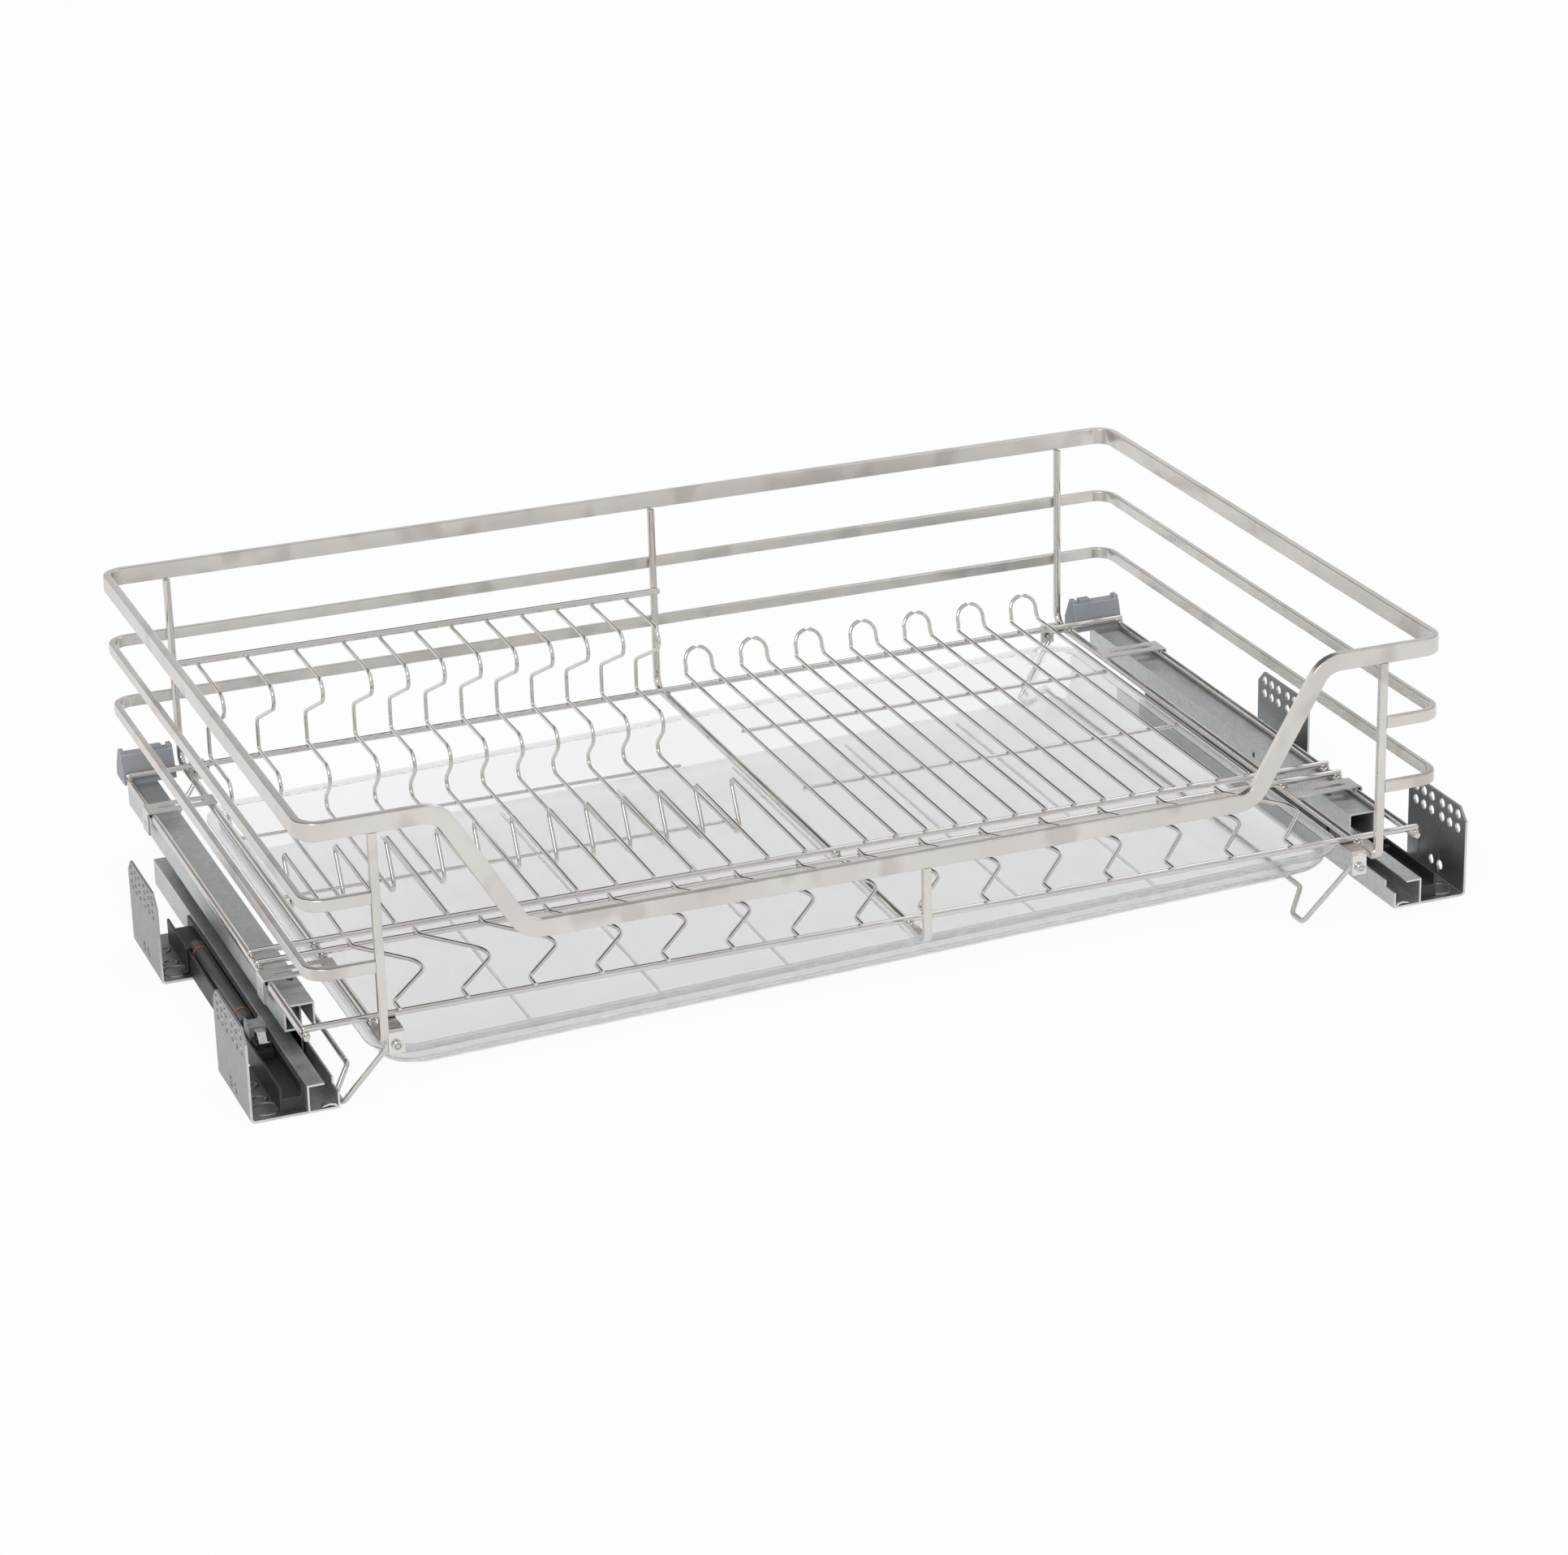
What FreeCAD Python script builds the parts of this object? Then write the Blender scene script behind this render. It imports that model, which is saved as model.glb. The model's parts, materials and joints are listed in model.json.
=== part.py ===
import FreeCAD, Part
import math
import os
import re

import Sketcher

# Pull-out dish rack for a base unit. Millimetres, +Z up, the front towards -Y.
# The origin lies on the cabinet floor, midway between the brackets and midway in depth.

SIZES = [
    # basket frame of flat bars
    ("basket_width", 700),
    ("basket_depth", 465),
    ("rail_corner_radius", 14.5),
    ("top_bar_height", 10.5),
    ("top_bar_thickness", 5),
    ("side_bar_height", 7),
    ("side_bar_thickness", 4),
    ("wire_level", 50.5),
    ("top_rail_rise", 130.5),
    ("middle_rail_rise", 85.6),
    ("lower_rail_rise", 44.7),
    ("dip_shoulder", 270),
    ("dip_toe", 224),
    ("dip_fall", 78.5),
    ("dip_bend_radius", 16),
    ("dip_stub", 15),
    # posts and the wires that carry the floor
    ("side_post_place", 308.7),
    ("middle_post_place", 16),
    ("post_strip_width", 5),
    ("post_strip_depth", 4),
    ("foot_reach", 21.5),
    ("foot_radius", 8),
    ("cross_wire_diameter", 4),
    ("cross_wire_setback", 1),
    ("front_wire_setback", 25.9),
    ("rear_wire_setback", 26.3),
    ("bowl_row_depth", 97.6),
    ("bowl_rack_gap", 16.4),
    ("side_wire_diameter", 5),
    ("outer_wire_setback", 3),
    ("outer_wire_overhang", 4),
    ("frame_bend_radius", 9),
    ("weld_gap", 0.05),
    # thin wires that hold plates, bowls and cups
    ("thin_wire_diameter", 2.6),
    ("wire_overhang", 1.5),
    ("leg_overhang", 3),
    ("back_bar_diameter", 4.5),
    ("back_bar_rise", 64.5),
    ("plate_wire_inset", 56.5),
    ("wide_slot_pitch", 32),
    ("wide_slot_count", 4),
    ("close_slot_pitch", 24.1),
    ("close_slot_count", 8),
    ("plate_back_reach", 88),
    ("plate_back_fall", 36.4),
    ("plate_wire_clearance", 0.5),
    ("plate_trough_depth", 32.4),
    ("plate_trough_rear", 63),
    ("plate_trough_lean", 33.4),
    ("plate_trough_front", 15.6),
    ("plate_loop_lean", 18.6),
    ("plate_loop_rise", 1.7),
    ("back_bend_radius", 8),
    ("trough_bend_radius", 6),
    ("loop_bend_radius", 4),
    ("kink_radius", 3),
    ("floor_wire_diameter", 2.2),
    ("floor_wire_front", 48),
    ("floor_wire_rear", 150),
    ("floor_wire_end", 4),
    ("bowl_wire_overhang", 4.5),
    ("bowl_wire_inset", 56.7),
    ("bowl_wire_pitch", 39.7),
    ("bowl_wire_count", 15),
    ("bowl_wire_swing", 32.8),
    ("bowl_bend_setback", 8),
    ("bowl_bend_radius", 9),
    ("bowl_peak_radius", 16),
    ("rack_first_inset", 18.5),
    ("rack_leg_pitch", 19.76),
    ("rack_loop_count", 7),
    ("rack_loop_setback", 13),
    ("rack_loop_rise", 16.6),
    ("rack_loop_back", 5.5),
    ("rack_bend_radius", 6),
    ("rack_wire_front", 5),
    ("rack_wire_rear", 113),
    # slides
    ("slide_inset", 21.4),
    ("sheet_thickness", 1.2),
    ("running_clearance", 0.3),
    ("drawer_rail_width", 18.1),
    ("drawer_rail_height", 15.8),
    ("drawer_rail_lip", 8.2),
    ("drawer_rail_front", 74.2),
    ("drawer_rail_rear", 17.1),
    ("cabinet_rail_step", 2.6),
    ("cabinet_rail_width", 18.4),
    ("cabinet_rail_height", 16.9),
    ("cabinet_rail_flange", 10.2),
    ("cabinet_rail_sill", 2.9),
    ("cabinet_rail_front", 20.5),
    ("cabinet_rail_length", 354.5),
    ("tongue_depth", 4),
    ("tongue_reach", 9.6),
    ("tongue_rise", 2.6),
    ("rail_notch_depth", 4),
    ("rail_notch_length", 12),
    ("middle_runner_front", 84.2),
    ("middle_runner_length", 288),
    ("roller_diameter", 2.4),
    ("roller_length", 8),
    ("roller_count", 3),
    ("roller_pitch", 60),
    ("cage_thickness", 1),
    ("cage_strip_top", 25.5),
    ("lower_cage_front", 110.5),
    ("upper_cage_front", 150),
    ("cage_length", 172),
    # straps and clips between basket and slides
    ("strap_width", 15),
    ("strap_thickness", 1.2),
    ("strap_tab_drop", 15),
    ("strap_slot_length", 30),
    ("strap_slot_width", 4),
    ("strap_hole_diameter", 3.5),
    ("strap_front", 107.5),
    ("strap_pitch", 274),
    ("rear_clip_inner", 34),
    ("rear_clip_width", 34),
    ("rear_clip_height", 18.1),
    ("rear_clip_depth", 21),
    ("rear_clip_slope", 6.2),
    ("rear_clip_rib", 3),
    ("rear_clip_rib_rise", 2.4),
    ("rear_clip_knob_length", 8),
    ("rear_clip_knob_rise", 2),
    # fixing brackets
    ("side_clearance", 32),
    ("bracket_thickness", 1.5),
    ("bracket_lap", 49),
    ("bracket_height", 56.1),
    ("bracket_width", 70),
    ("bracket_front_setback", 23.5),
    ("bracket_pitch", 203.4),
    ("bracket_corner", 8),
    ("hole_diameter", 6.3),
    ("hole_column_pitch", 9.7),
    ("hole_row_pitch", 9),
    ("hole_group_pitch", 32),
    ("hole_top_margin", 5.6),
    ("lower_hole_rise", 9),
    ("lower_hole_pitch", 10.3),
    # soft-close dampers
    ("damper_tray_front", 27.5),
    ("damper_tray_length", 257),
    ("damper_tray_width", 14),
    ("damper_tray_height", 15),
    ("damper_tray_wall", 1.5),
    ("damper_trough_depth", 7),
    ("damper_front", 122.5),
    ("damper_length", 118),
    ("damper_diameter", 9.2),
    ("damper_cap_length", 4),
    ("damper_bore_depth", 60),
    ("damper_ring_length", 3),
    ("damper_ring_inset", 10.5),
    ("damper_rod_diameter", 2.4),
    ("damper_rod_reach", 50),
    ("catch_length", 29.5),
    ("catch_front", 80.5),
    ("catch_height", 14.5),
    ("catch_notch", 6),
    ("catch_notch_depth", 5),
    # tray hangers and the drip tray
    ("clip_inner", 295.3),
    ("clip_width", 9.4),
    ("clip_thickness", 1.5),
    ("clip_setback", 8.5),
    ("clip_drop", 16.4),
    ("pivot_place", 300),
    ("pivot_drop", 11.3),
    ("hanger_diameter", 3.2),
    ("pin_hole_diameter", 4.4),
    ("hanger_leg", 47),
    ("hanger_run_drop", 31),
    ("hanger_pin_length", 9.5),
    ("hanger_leg_slant", 9.5),
    ("hanger_foot_length", 14),
    ("hanger_jog", 8),
    ("hanger_bend_radius", 4),
    ("hanger_lean_out", 30),
    ("hanger_lean_down", 39.1),
    ("collar_diameter", 5.8),
    ("collar_length", 2),
    ("tray_half_width", 306),
    ("tray_front", 206),
    ("tray_rear", 200),
    ("tray_depth", 25),
    ("tray_wall", 1.6),
    ("tray_rim", 8),
    ("tray_rim_thickness", 1.4),
    ("tray_slope_height", 14),
    ("tray_slope_side", 14),
    ("tray_slope_end", 24),
    ("tray_corner_radius", 28),
    ("tray_tilt_rise", 17.5),
    ("tray_tilt_run", 600),
    ("tray_rib_count", 6),
    ("tray_rib_pitch", 80),
    ("tray_rib_width", 2),
    ("tray_rib_height", 1.2),
]

# Small round forms repeat hundreds of times, so they are cut to flats that touch the true circle:
# sides round a thin wire, a stout wire and a drilled hole, and the most that one chord may turn.
THIN_SIDES = 6
STOUT_SIDES = 8
HOLE_SIDES = 10
CHORD_TURN = 60
# The least volume that counts as a cut.
LEAST_CUT = 0.1

doc = FreeCAD.newDocument("pull_out_dish_rack")
sheet = doc.addObject("Spreadsheet::Sheet", "sizes")
for row, (name, number) in enumerate(SIZES, start=1):
    sheet.set(f"A{row}", str(number))
    sheet.setAlias(f"A{row}", name)
doc.recompute()
NAMES = {name for name, number in SIZES}


def bound(text):
    """An expression with each named size looked up in the sheet."""
    return re.sub(r"[a-z_]+", lambda word: ("sizes." if word[0] in NAMES else "") + word[0], text)


def size(text):
    """The number that an expression of named sizes gives."""
    return float(sheet.evalExpression(bound(text)))


# Places that several pieces share, as expressions of the sizes.
FRONT = "-basket_depth / 2"
BACK = "basket_depth / 2"
FRONT_WIRE = f"({FRONT} + front_wire_setback)"
REAR_WIRE = f"({BACK} - rear_wire_setback)"
BOWL_WIRE = f"({FRONT_WIRE} + bowl_row_depth)"
RACK_WIRE = f"({BOWL_WIRE} + bowl_rack_gap)"
THIN_LEVEL = "(wire_level + (cross_wire_diameter + thin_wire_diameter) / 2 + weld_gap)"
SIDE_LEVEL = "(wire_level - (cross_wire_diameter + side_wire_diameter) / 2 - weld_gap)"
POST_LINE = f"({BACK} - side_bar_thickness - side_wire_diameter / 2 - weld_gap)"
BACK_BAR_LINE = f"({POST_LINE} - (side_wire_diameter + back_bar_diameter) / 2 - weld_gap)"
BACK_BAR_LEVEL = "(wire_level + back_bar_rise)"
TROUGH_LEVEL = f"({THIN_LEVEL} - plate_trough_depth)"
FLOOR_WIRE_LEVEL = f"({TROUGH_LEVEL} - (thin_wire_diameter + floor_wire_diameter) / 2 - weld_gap)"
STRAP_TOP = f"({SIDE_LEVEL} + side_wire_diameter / 2 + weld_gap + strap_thickness)"
DRAWER_TOP = f"({SIDE_LEVEL} - side_wire_diameter / 2 - weld_gap)"
DRAWER_INNER = "(basket_width / 2 - slide_inset)"
DRAWER_FRONT = f"({FRONT} + drawer_rail_front)"
DRAWER_LENGTH = "(basket_depth - drawer_rail_front - drawer_rail_rear)"
CABINET_INNER = f"({DRAWER_INNER} + cabinet_rail_step)"
CABINET_OUTER = f"({CABINET_INNER} + cabinet_rail_width)"
CABINET_FRONT = f"({FRONT} + cabinet_rail_front)"
CAGE_INNER = f"({CABINET_INNER} + sheet_thickness + running_clearance)"
RUNNER_INNER = f"({CAGE_INNER} + cage_thickness + running_clearance)"
ROLLER_GAP = "(roller_diameter + 2 * running_clearance)"
RUNNER_BOTTOM = f"(bracket_thickness + sheet_thickness + {ROLLER_GAP})"
RUNNER_TOP = f"({DRAWER_TOP} - sheet_thickness - {ROLLER_GAP})"
RUNNER_FOOT = f"({CABINET_OUTER} - sheet_thickness - cage_thickness)"
RUNNER_HEAD = f"({DRAWER_INNER} + drawer_rail_width - sheet_thickness - cage_thickness)"
RUNNER_FRONT = f"({FRONT} + middle_runner_front)"
BRACKET_FACE = "(basket_width / 2 + side_clearance)"
BRACKET_FRONT = f"({FRONT} + bracket_front_setback)"
DAMPER_SIDE = f"({CABINET_OUTER} + weld_gap)"
DAMPER_LINE = f"({DAMPER_SIDE} + damper_tray_width / 2)"
DAMPER_FLOOR = "(bracket_thickness + damper_tray_height - damper_trough_depth)"
RING_RADIUS = "(damper_tray_width / 2 - damper_tray_wall - running_clearance)"
DAMPER_LEVEL = f"({DAMPER_FLOOR} + {RING_RADIUS} + weld_gap)"
DAMPER_FRONT = f"({FRONT} + damper_front)"
CATCH_FRONT = f"({FRONT} + catch_front)"
CLIP_FACE = f"({BACK} - clip_setback)"
PIVOT_LEVEL = "(wire_level - pivot_drop)"
CLIP_TOP = "(wire_level - cross_wire_diameter / 2 - weld_gap)"

pieces = []


def make_body(label, finished=True):
    body = doc.addObject("PartDesign::Body", label)
    body.Label = label
    if finished:
        pieces.append(body)
    return body


def plane_of(body, role):
    return next(feature for feature in body.Origin.OriginFeatures if feature.Role == role)


def new_sketch(body, name, plane, place):
    """A sketch parallel to an origin plane, at an expression of the sizes along the plane's axis."""
    sketch = body.newObject("Sketcher::SketchObject", name)
    sketch.AttachmentSupport = (plane_of(body, plane), "")
    sketch.MapMode = "FlatFace"
    side = "-1" if plane == "XZ_Plane" else "1"
    sketch.setExpression("AttachmentOffset.Base.z", bound(f"{side} * ({place})"))
    return sketch


def bind(sketch, constraints):
    """Add constraints at once, then tie each one that has an expression to the sizes."""
    first = sketch.ConstraintCount
    sketch.addConstraint([constraint for constraint, text in constraints])
    for number, (constraint, text) in enumerate(constraints, start=first):
        if text:
            sketch.setExpression(f"Constraints[{number}]", bound(text))


def draw(sketch, corners, closed=True):
    """Lines through named corners. A corner with a radius is a tangent arc, the others are sharp."""
    places = [FreeCAD.Vector(size(across), size(up), 0) for across, up, *bend in corners]
    radii = [bend[0] if bend else None for across, up, *bend in corners]
    count = len(corners)
    steps = count if closed else count - 1
    headings = [(places[(i + 1) % count] - places[i]).normalize() for i in range(steps)]
    starts, ends, arcs = list(places), list(places), {}
    for i in range(count):
        if radii[i] is None:
            continue
        before, after = headings[i - 1], headings[i]
        radius = size(radii[i])
        turn = before.getAngle(after)
        left = before.cross(after).z > 0
        reach = radius * math.tan(turn / 2)
        ends[i] = places[i] - before * reach
        starts[i] = places[i] + after * reach
        inward = FreeCAD.Vector(-before.y, before.x, 0) * (1 if left else -1)
        centre = ends[i] + inward * radius
        first, last = (ends[i], starts[i]) if left else (starts[i], ends[i])
        begin = math.atan2(first.y - centre.y, first.x - centre.x)
        finish = math.atan2(last.y - centre.y, last.x - centre.x)
        arcs[i] = (centre, radius, begin, finish, left)
    constraints = []
    lines = [
        sketch.addGeometry(Part.LineSegment(starts[i], ends[(i + 1) % count]), False)
        for i in range(steps)
    ]
    for i in range(count):
        across, up = corners[i][:2]
        incoming = lines[i - 1] if closed or i > 0 else None
        outgoing = lines[i] if i < steps else None
        if i in arcs:
            centre, radius, begin, finish, left = arcs[i]
            circle = Part.Circle(centre, FreeCAD.Vector(0, 0, 1), radius)
            arc = sketch.addGeometry(Part.ArcOfCircle(circle, begin, finish), False)
            corner = sketch.addGeometry(Part.Point(places[i]), True)
            entry, leave = (1, 2) if left else (2, 1)
            constraints += [
                (Sketcher.Constraint("Tangent", incoming, 2, arc, entry), None),
                (Sketcher.Constraint("Tangent", arc, leave, outgoing, 1), None),
                (Sketcher.Constraint("Radius", arc, radius), radii[i]),
                (Sketcher.Constraint("PointOnObject", corner, 1, incoming), None),
                (Sketcher.Constraint("PointOnObject", corner, 1, outgoing), None),
            ]
            held = (corner, 1)
        elif incoming is not None and outgoing is not None:
            constraints.append((Sketcher.Constraint("Coincident", incoming, 2, outgoing, 1), None))
            held = (outgoing, 1)
        else:
            held = (outgoing, 1) if outgoing is not None else (incoming, 2)
        constraints += [
            (Sketcher.Constraint("DistanceX", -1, 1, *held, places[i].x), across),
            (Sketcher.Constraint("DistanceY", -1, 1, *held, places[i].y), up),
        ]
    bind(sketch, constraints)


def draw_circle(sketch, across, up, diameter):
    centre = FreeCAD.Vector(size(across), size(up), 0)
    circle = Part.Circle(centre, FreeCAD.Vector(0, 0, 1), size(diameter) / 2)
    ring = sketch.addGeometry(circle, False)
    bind(sketch, [
        (Sketcher.Constraint("Diameter", ring, size(diameter)), diameter),
        (Sketcher.Constraint("DistanceX", -1, 1, ring, 3, centre.x), across),
        (Sketcher.Constraint("DistanceY", -1, 1, ring, 3, centre.y), up),
    ])


def draw_flats(sketch, across, up, diameter, sides=HOLE_SIDES):
    """A regular outline whose flats touch a circle, one of them lowest."""
    corners = []
    for k in range(sides):
        angle = (k + 0.5) * 2 * math.pi / sides
        reach = 0.5 / math.cos(math.pi / sides)
        corners.append((f"({across}) + ({diameter}) * {reach * math.sin(angle):.6f}",
                        f"({up}) - ({diameter}) * {reach * math.cos(angle):.6f}"))
    draw(sketch, corners)


def extrude(body, kind, name, sketch, length, plane):
    """Pad, or cut a pocket, from the sketch towards the positive end of the plane's axis."""
    feature = body.newObject(f"PartDesign::{kind}", name)
    feature.Profile = sketch
    feature.setExpression("Length", bound(length))
    feature.Reversed = (plane == "XZ_Plane") == (kind == "Pad")
    if hasattr(feature, "Refine"):
        feature.Refine = True
    doc.recompute()
    return feature


def pad(body, name, plane, corners, start, length):
    sketch = new_sketch(body, f"{name}_outline", plane, start)
    draw(sketch, corners)
    return extrude(body, "Pad", name, sketch, length, plane)


def pocket(body, name, plane, start, length, corners=None, circles=(), flats=()):
    """Cut an outline, round holes or holes cut to flats, and make sure that something was cut."""
    whole = body.Shape.Volume
    sketch = new_sketch(body, f"{name}_outline", plane, start)
    if corners:
        draw(sketch, corners)
    for circle in circles:
        draw_circle(sketch, *circle)
    for hole in flats:
        draw_flats(sketch, *hole)
    cut = extrude(body, "Pocket", name, sketch, length, plane)
    if cut.Shape.isNull() or not cut.Shape.Volume < whole - LEAST_CUT:
        raise RuntimeError(f"{body.Label}: {name} cuts nothing")
    return cut


def row_of(body, name, feature, role, pitch, count):
    """Repeat a feature along an origin axis."""
    pattern = body.newObject("PartDesign::LinearPattern", name)
    pattern.Originals = [feature]
    pattern.Direction = (plane_of(body, role), [""])
    pattern.setExpression("Length", bound(f"({pitch}) * ({count} - 1)"))
    pattern.setExpression("Occurrences", bound(count))
    body.Tip = pattern
    doc.recompute()
    return pattern


def rectangle(left, bottom, right, top):
    return [(left, bottom), (right, bottom), (right, top), (left, top)]


def rod(name, diameter, length, start, axis, sides=STOUT_SIDES):
    """A straight wire from a start point of three expressions, along X or Y, a flat lowest."""
    wire = doc.addObject("Part::Prism", name)
    wire.Polygon = sides
    flat = 2 * math.cos(math.pi / sides)
    wire.setExpression("Circumradius", bound(f"({diameter}) / {flat:.6f}"))
    wire.setExpression("Height", bound(length))
    turn = {"X": FreeCAD.Rotation(FreeCAD.Vector(0, 1, 0), 90),
            "Y": FreeCAD.Rotation(FreeCAD.Vector(1, 0, 0), -90)}[axis]
    spin = FreeCAD.Rotation(FreeCAD.Vector(0, 0, 1), 180 / sides)
    wire.Placement = FreeCAD.Placement(FreeCAD.Vector(0, 0, 0), turn.multiply(spin))
    for letter, place in zip("xyz", start):
        wire.setExpression(f"Placement.Base.{letter}", bound(place))
    return wire


def group(label, members):
    """Like pieces that share one name, kept as separate solids."""
    compound = doc.addObject("Part::Compound", label)
    compound.Label = label
    compound.Links = members
    pieces.append(compound)
    return compound


def bend_points(before, corner, after, radius):
    """The corners of the chords that stand for one bend, each touching the true arc."""
    incoming = (corner - before).normalize()
    outgoing = (after - corner).normalize()
    turn = incoming.getAngle(outgoing)
    chords = max(1, math.ceil(math.degrees(turn) / CHORD_TURN))
    axis = incoming.cross(outgoing).normalize()
    tangent = corner - incoming * (radius * math.tan(turn / 2))
    centre = tangent + axis.cross(incoming) * radius
    share = turn / chords
    points = []
    for chord in range(chords):
        angle = math.degrees((chord + 0.5) * share)
        spoke = FreeCAD.Rotation(axis, angle).multVec(tangent - centre)
        points.append(centre + spoke / math.cos(share / 2))
    return points


def chord_path(corners):
    """The start, the chord corners of every bend, and the end of a bent wire."""
    path = [corners[0][0]]
    for i in range(1, len(corners) - 1):
        place, radius = corners[i]
        path += bend_points(corners[i - 1][0], place, corners[i + 1][0], radius)
    return path + [corners[-1][0]]


def bent_tube(path, diameter, sides, up):
    """A closed solid of flat-sided section round a chord path, mitred at every corner."""
    headings = [(b - a).normalize() for a, b in zip(path, path[1:])]
    across = up.cross(headings[0]).normalize()
    upright = headings[0].cross(across)
    spoke = diameter / 2 / math.cos(math.pi / sides)
    ring = []
    for k in range(sides):
        angle = (k + 0.5) * 2 * math.pi / sides
        ring.append(path[0] + upright * (spoke * math.cos(angle)) + across * (spoke * math.sin(angle)))
    rings = [ring]
    for i, heading in enumerate(headings):
        last = i == len(headings) - 1
        mitre = heading if last else (heading + headings[i + 1]).normalize()
        centre = path[i + 1]
        ring = [p + heading * ((centre - p).dot(mitre) / heading.dot(mitre)) for p in ring]
        rings.append(ring)
    faces = [Part.Face(Part.makePolygon(end + end[:1])) for end in (rings[0], rings[-1])]
    for a, b in zip(rings, rings[1:]):
        for k in range(sides):
            j = (k + 1) % sides
            faces.append(Part.Face(Part.makePolygon([a[k], a[j], b[j], b[k], a[k]])))
    shell = Part.makeShell(faces)
    shell.sewShape()
    solid = Part.makeSolid(shell)
    if solid.Volume < 0:
        solid.reverse()
    return solid


def bent_wires(label, corners, diameter, sides, up, shifts):
    """Copies of one bent wire. Corners are (x, y, z) expressions with a bend radius or None."""
    numbers = []
    for across, along, high, bend in corners:
        place = FreeCAD.Vector(size(across), size(along), size(high))
        numbers.append((place, size(bend) if bend else None))
    wire = bent_tube(chord_path(numbers), size(diameter), sides, FreeCAD.Vector(*up))
    solids = []
    for shift in shifts:
        copy = wire.copy()
        copy.translate(FreeCAD.Vector(shift, 0, 0))
        solids.append(copy)
    feature = doc.addObject("Part::Feature", label)
    feature.Label = label
    feature.Shape = solids[0] if len(solids) == 1 else Part.makeCompound(solids)
    pieces.append(feature)
    return feature


def band_corners(thickness, reach):
    """A bar that runs from the front, round three sides of the basket, and back to the front."""
    half_x, half_y = "basket_width / 2", "basket_depth / 2"
    bend = "rail_corner_radius"
    tight = f"rail_corner_radius - {thickness}"
    inner_x, inner_y = f"({half_x} - {thickness})", f"({half_y} - {thickness})"
    return [
        (f"-({reach})", f"-{half_y}"),
        (f"-{half_x}", f"-{half_y}", bend),
        (f"-{half_x}", half_y, bend),
        (half_x, half_y, bend),
        (half_x, f"-{half_y}", bend),
        (reach, f"-{half_y}"),
        (reach, f"-{inner_y}"),
        (inner_x, f"-{inner_y}", tight),
        (inner_x, inner_y, tight),
        (f"-{inner_x}", inner_y, tight),
        (f"-{inner_x}", f"-{inner_y}", tight),
        (f"-({reach})", f"-{inner_y}"),
    ]


def side_band(label, rise):
    body = make_body(label)
    level = f"wire_level + {rise} - side_bar_height"
    reach = "side_post_place + post_strip_width / 2"
    pad(body, "bar", "XY_Plane", band_corners("side_bar_thickness", reach), level, "side_bar_height")


def top_rail():
    """The heavy top bar, whose front dips so that dishes come out over it."""
    body = make_body("top_rail")
    reach = "dip_shoulder + dip_stub"
    half = "top_bar_height / 2"
    level = "(wire_level + top_rail_rise - top_bar_height / 2)"
    pad(body, "bar", "XY_Plane", band_corners("top_bar_thickness", reach),
        f"{level} - {half}", "top_bar_height")
    run = "(dip_shoulder - dip_toe)"
    shift = f"{half} * (sqrt({run} ^ 2 + dip_fall ^ 2) - {run}) / dip_fall"
    wide, tight = f"dip_bend_radius + {half}", f"dip_bend_radius - {half}"
    low = f"({level} - dip_fall)"
    right_top = [
        (reach, f"{level} + {half}"),
        (f"dip_shoulder - {shift}", f"{level} + {half}", wide),
        (f"dip_toe - {shift}", f"{low} + {half}", tight),
    ]
    right_under = [
        (f"dip_toe + {shift}", f"{low} - {half}", wide),
        (f"dip_shoulder + {shift}", f"{level} - {half}", tight),
        (reach, f"{level} - {half}"),
    ]
    left = [(f"-({corner[0]})", *corner[1:]) for corner in reversed(right_top)]
    left_under = [(f"-({corner[0]})", *corner[1:]) for corner in reversed(right_under)]
    pad(body, "dip", "XZ_Plane", right_top + left + left_under + right_under, FRONT, "top_bar_thickness")


def front_post(label, places, top):
    """A flat strip that stands on the front and hooks back under the floor wires."""
    body = make_body(label)
    outer, inner = FRONT, f"({FRONT} + post_strip_depth)"
    low = f"({SIDE_LEVEL} - post_strip_depth / 2)"
    high = f"({SIDE_LEVEL} + post_strip_depth / 2)"
    end = f"({FRONT} + foot_reach)"
    corners = [
        (outer, top),
        (outer, low, "foot_radius"),
        (end, low),
        (end, high),
        (inner, high, "foot_radius - post_strip_depth"),
        (inner, top),
    ]
    strip = pad(body, "strip", "YZ_Plane", corners, f"{places[0]} - post_strip_width / 2", "post_strip_width")
    if len(places) == 2:
        row_of(body, "pair", strip, "X_Axis", f"{places[1]} - ({places[0]})", "2")


def frame_wires():
    """Stout wires that carry the floor and turn up behind it as the rear posts."""
    top = "wire_level + top_rail_rise - top_bar_height - weld_gap"
    start = f"{FRONT} + foot_reach + weld_gap"
    corners = [
        ("0", start, SIDE_LEVEL, None),
        ("0", POST_LINE, SIDE_LEVEL, "frame_bend_radius"),
        ("0", POST_LINE, top, None),
    ]
    side, middle = size("side_post_place"), size("middle_post_place")
    bent_wires("frame_wires", corners, "side_wire_diameter", STOUT_SIDES, (0, 0, 1), [-side, middle, side])


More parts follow.
